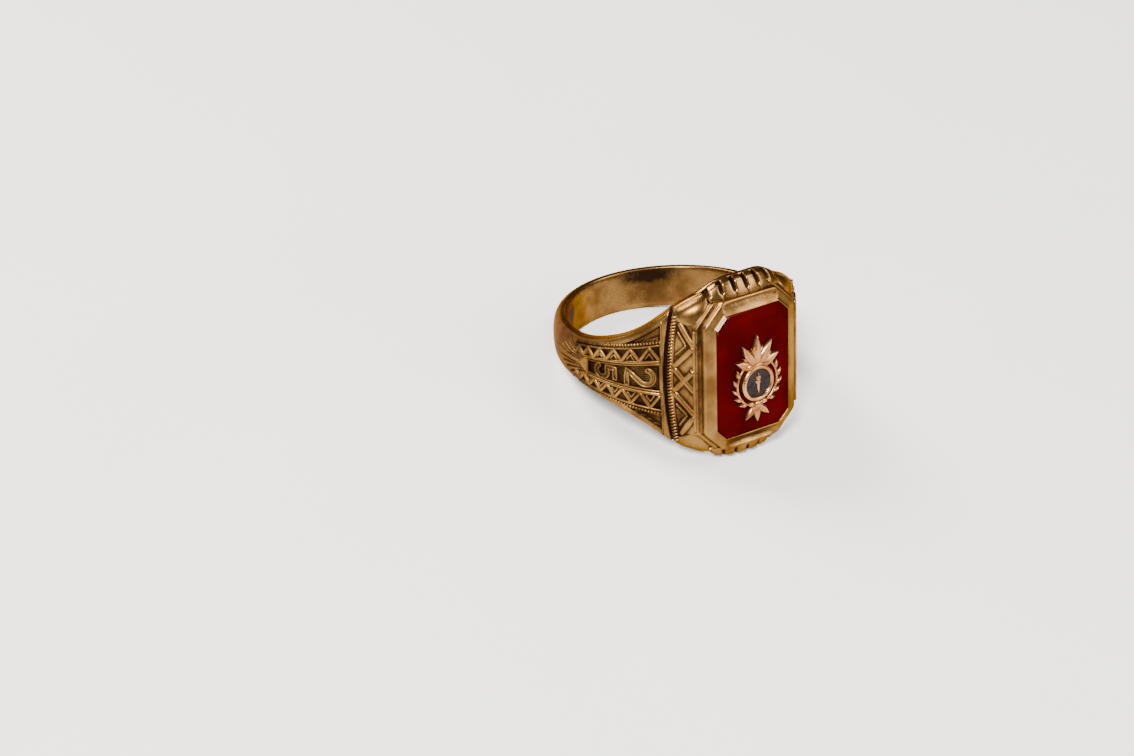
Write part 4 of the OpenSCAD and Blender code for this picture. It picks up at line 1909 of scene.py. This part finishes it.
    def build(self, wires: WireTree, beads: BeadTree) -> bpy.types.Object:
        """Builds the emblem as one piece.

        Args:
            wires: the tree that sweeps the stems.
            beads: the tree that scatters the beads.

        Returns:
            The new object.
        """
        self.palmette()
        self.medallion(beads)
        self.sprays(wires)
        self.ribbon()
        return tint(joined("crest", self.parts), self.darkening)

    def enamel(self) -> bpy.types.Object:
        """The black enamel that fills the medallion's field, slightly hollow.

        Returns:
            The new object.
        """
        r, top = self.field_r - self.gap, self.thick - 0.1
        return self.turned("enamel_field", self.medal_y, [
            (r, self.thick - 0.19), (r, top), (r - 0.05, top - 0.015), (r * 0.6, top - 0.03),
            (0.02, top - 0.035)], 64)


@dataclass(frozen=True)
class Lamp:
    """A square soft light: its place and size in metres, its power in watts and its colour."""

    name: str
    place: tuple
    size: float
    power: float
    colour: tuple = (1, 1, 1)

    def add(self) -> None:
        """Puts the light in the scene, facing the ring."""
        data = bpy.data.lights.new(self.name, "AREA")
        data.shape, data.size, data.energy, data.color = "SQUARE", self.size, self.power, self.colour
        made = link(self.name, data)
        made.location = self.place
        ahead = Vector((0, 0, 0.006)) - Vector(self.place)
        made.rotation_euler = ahead.to_track_quat("-Z", "Y").to_euler()


@dataclass(frozen=True)
class Studio:
    """A plain pale floor, soft light and the camera at the photograph's angle."""

    lens: float = 99.04
    distance: float = 0.2423
    aim: tuple = (-0.013662, -0.002819, 0.007)
    azimuth: float = 40.496
    elevation: float = 39.08
    roll: float = 10.84
    floor_half: float = 1.5
    sky: tuple = (0.62, 0.61, 0.6, 1)
    sky_strength: float = 0.17
    lamps: tuple = (
        Lamp("key", (-0.31, -0.20, 0.44), 0.12, 8.8, (1.0, 0.98, 0.95)),
        Lamp("spark", (-0.23, -0.33, 0.404), 0.045, 0.9),
        Lamp("back", (-0.16, 0.34, 0.34), 0.2, 4.5, (1.0, 0.97, 0.93)),
        Lamp("right", (0.27, -0.14, 0.46), 0.26, 1.9),
        Lamp("front", (0.31, -0.45, 0.30), 0.3, 3.2),
    )

    def camera(self) -> None:
        """Creates the camera."""
        data = bpy.data.cameras.new("camera")
        data.lens, data.sensor_width, data.sensor_fit = self.lens, 36.0, "HORIZONTAL"
        data.clip_start, data.clip_end = 0.01, 10.0
        made = link("camera", data)
        az, el = math.radians(self.azimuth), math.radians(self.elevation)
        ahead = Vector((math.sin(az) * math.cos(el), math.cos(az) * math.cos(el), -math.sin(el)))
        right = ahead.cross(Vector((0, 0, 1))).normalized()
        up = right.cross(ahead)
        c, s = math.cos(math.radians(self.roll)), math.sin(math.radians(self.roll))
        turn = Matrix((right * c + up * s, up * c - right * s, -ahead)).transposed().to_4x4()
        made.matrix_world = Matrix.Translation(Vector(self.aim) - ahead * self.distance) @ turn
        bpy.context.scene.camera = made

    def floor(self) -> bpy.types.Object:
        """Creates the floor.

        Returns:
            The new object.
        """
        mesh = bpy.data.meshes.new("floor")
        r = self.floor_half
        mesh.from_pydata([(-r, -r, 0), (r, -r, 0), (r, r, 0), (-r, r, 0)], [], [(0, 1, 2, 3)])
        mesh.materials.append(FloorFinish("pale_floor").make())
        return link("floor", mesh)

    def light(self) -> None:
        """Creates the lights and the pale surroundings."""
        for lamp in self.lamps:
            lamp.add()
        world = bpy.data.worlds.new("studio")
        bpy.context.scene.world = world
        world.use_nodes = True
        shade = world.node_tree.nodes["Background"]
        shade.inputs["Color"].default_value = self.sky
        shade.inputs["Strength"].default_value = self.sky_strength


def hand_over(made: bpy.types.Object, material: bpy.types.Material, slot: str,
              *nodes: str) -> None:
    """Gives a finished piece its material and its body, and hides the nodes that it stands for.

    Args:
        made: the piece.
        material: its material.
        slot: the record's slot that the material stands for; not used.
        nodes: the nodes that the piece replaces.
    """
    made.data.materials.clear()
    made.data.materials.append(material)
    made.data.polygons.foreach_set("material_index", [0] * len(made.data.polygons))
    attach(made, "root")
    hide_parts(*nodes)
    LOG.info("%s: %d faces, for %s", made.name, len(made.data.polygons), ", ".join(nodes))


def main() -> None:
    """Builds the ring, dresses it and sets the studio."""
    logging.basicConfig(level=logging.INFO, format="%(message)s")
    wires, beads = WireTree(), BeadTree()
    gold = MetalFinish("worn_gold").make()
    rose = MetalFinish("rose_gold", base=(0.49, 0.23, 0.10, 1), warm=(0.35, 0.14, 0.05, 1),
                       dark=(0.02, 0.006, 0.003, 1)).make()
    stone = StoneFinish("red_stone").make()
    enamel = EnamelFinish("black_enamel").make()
    bezel, crest = Bezel(), Crest()
    cast = [Shank().build(), ShoulderLines().build(wires, beads), bezel.frame(),
            bezel.lines(wires), *HeadEnds().build()]
    for made in cast:
        hand_over(made, gold, "gold", "band")
    hand_over(Stone().build(), stone, "red_stone", "stone")
    hand_over(crest.build(wires, beads), rose, "rose_gold", "emblem")
    hand_over(crest.enamel(), enamel, "black_enamel", "enamel")
    studio = Studio()
    studio.floor()
    studio.camera()
    studio.light()


if __name__ == "__main__":
    main()
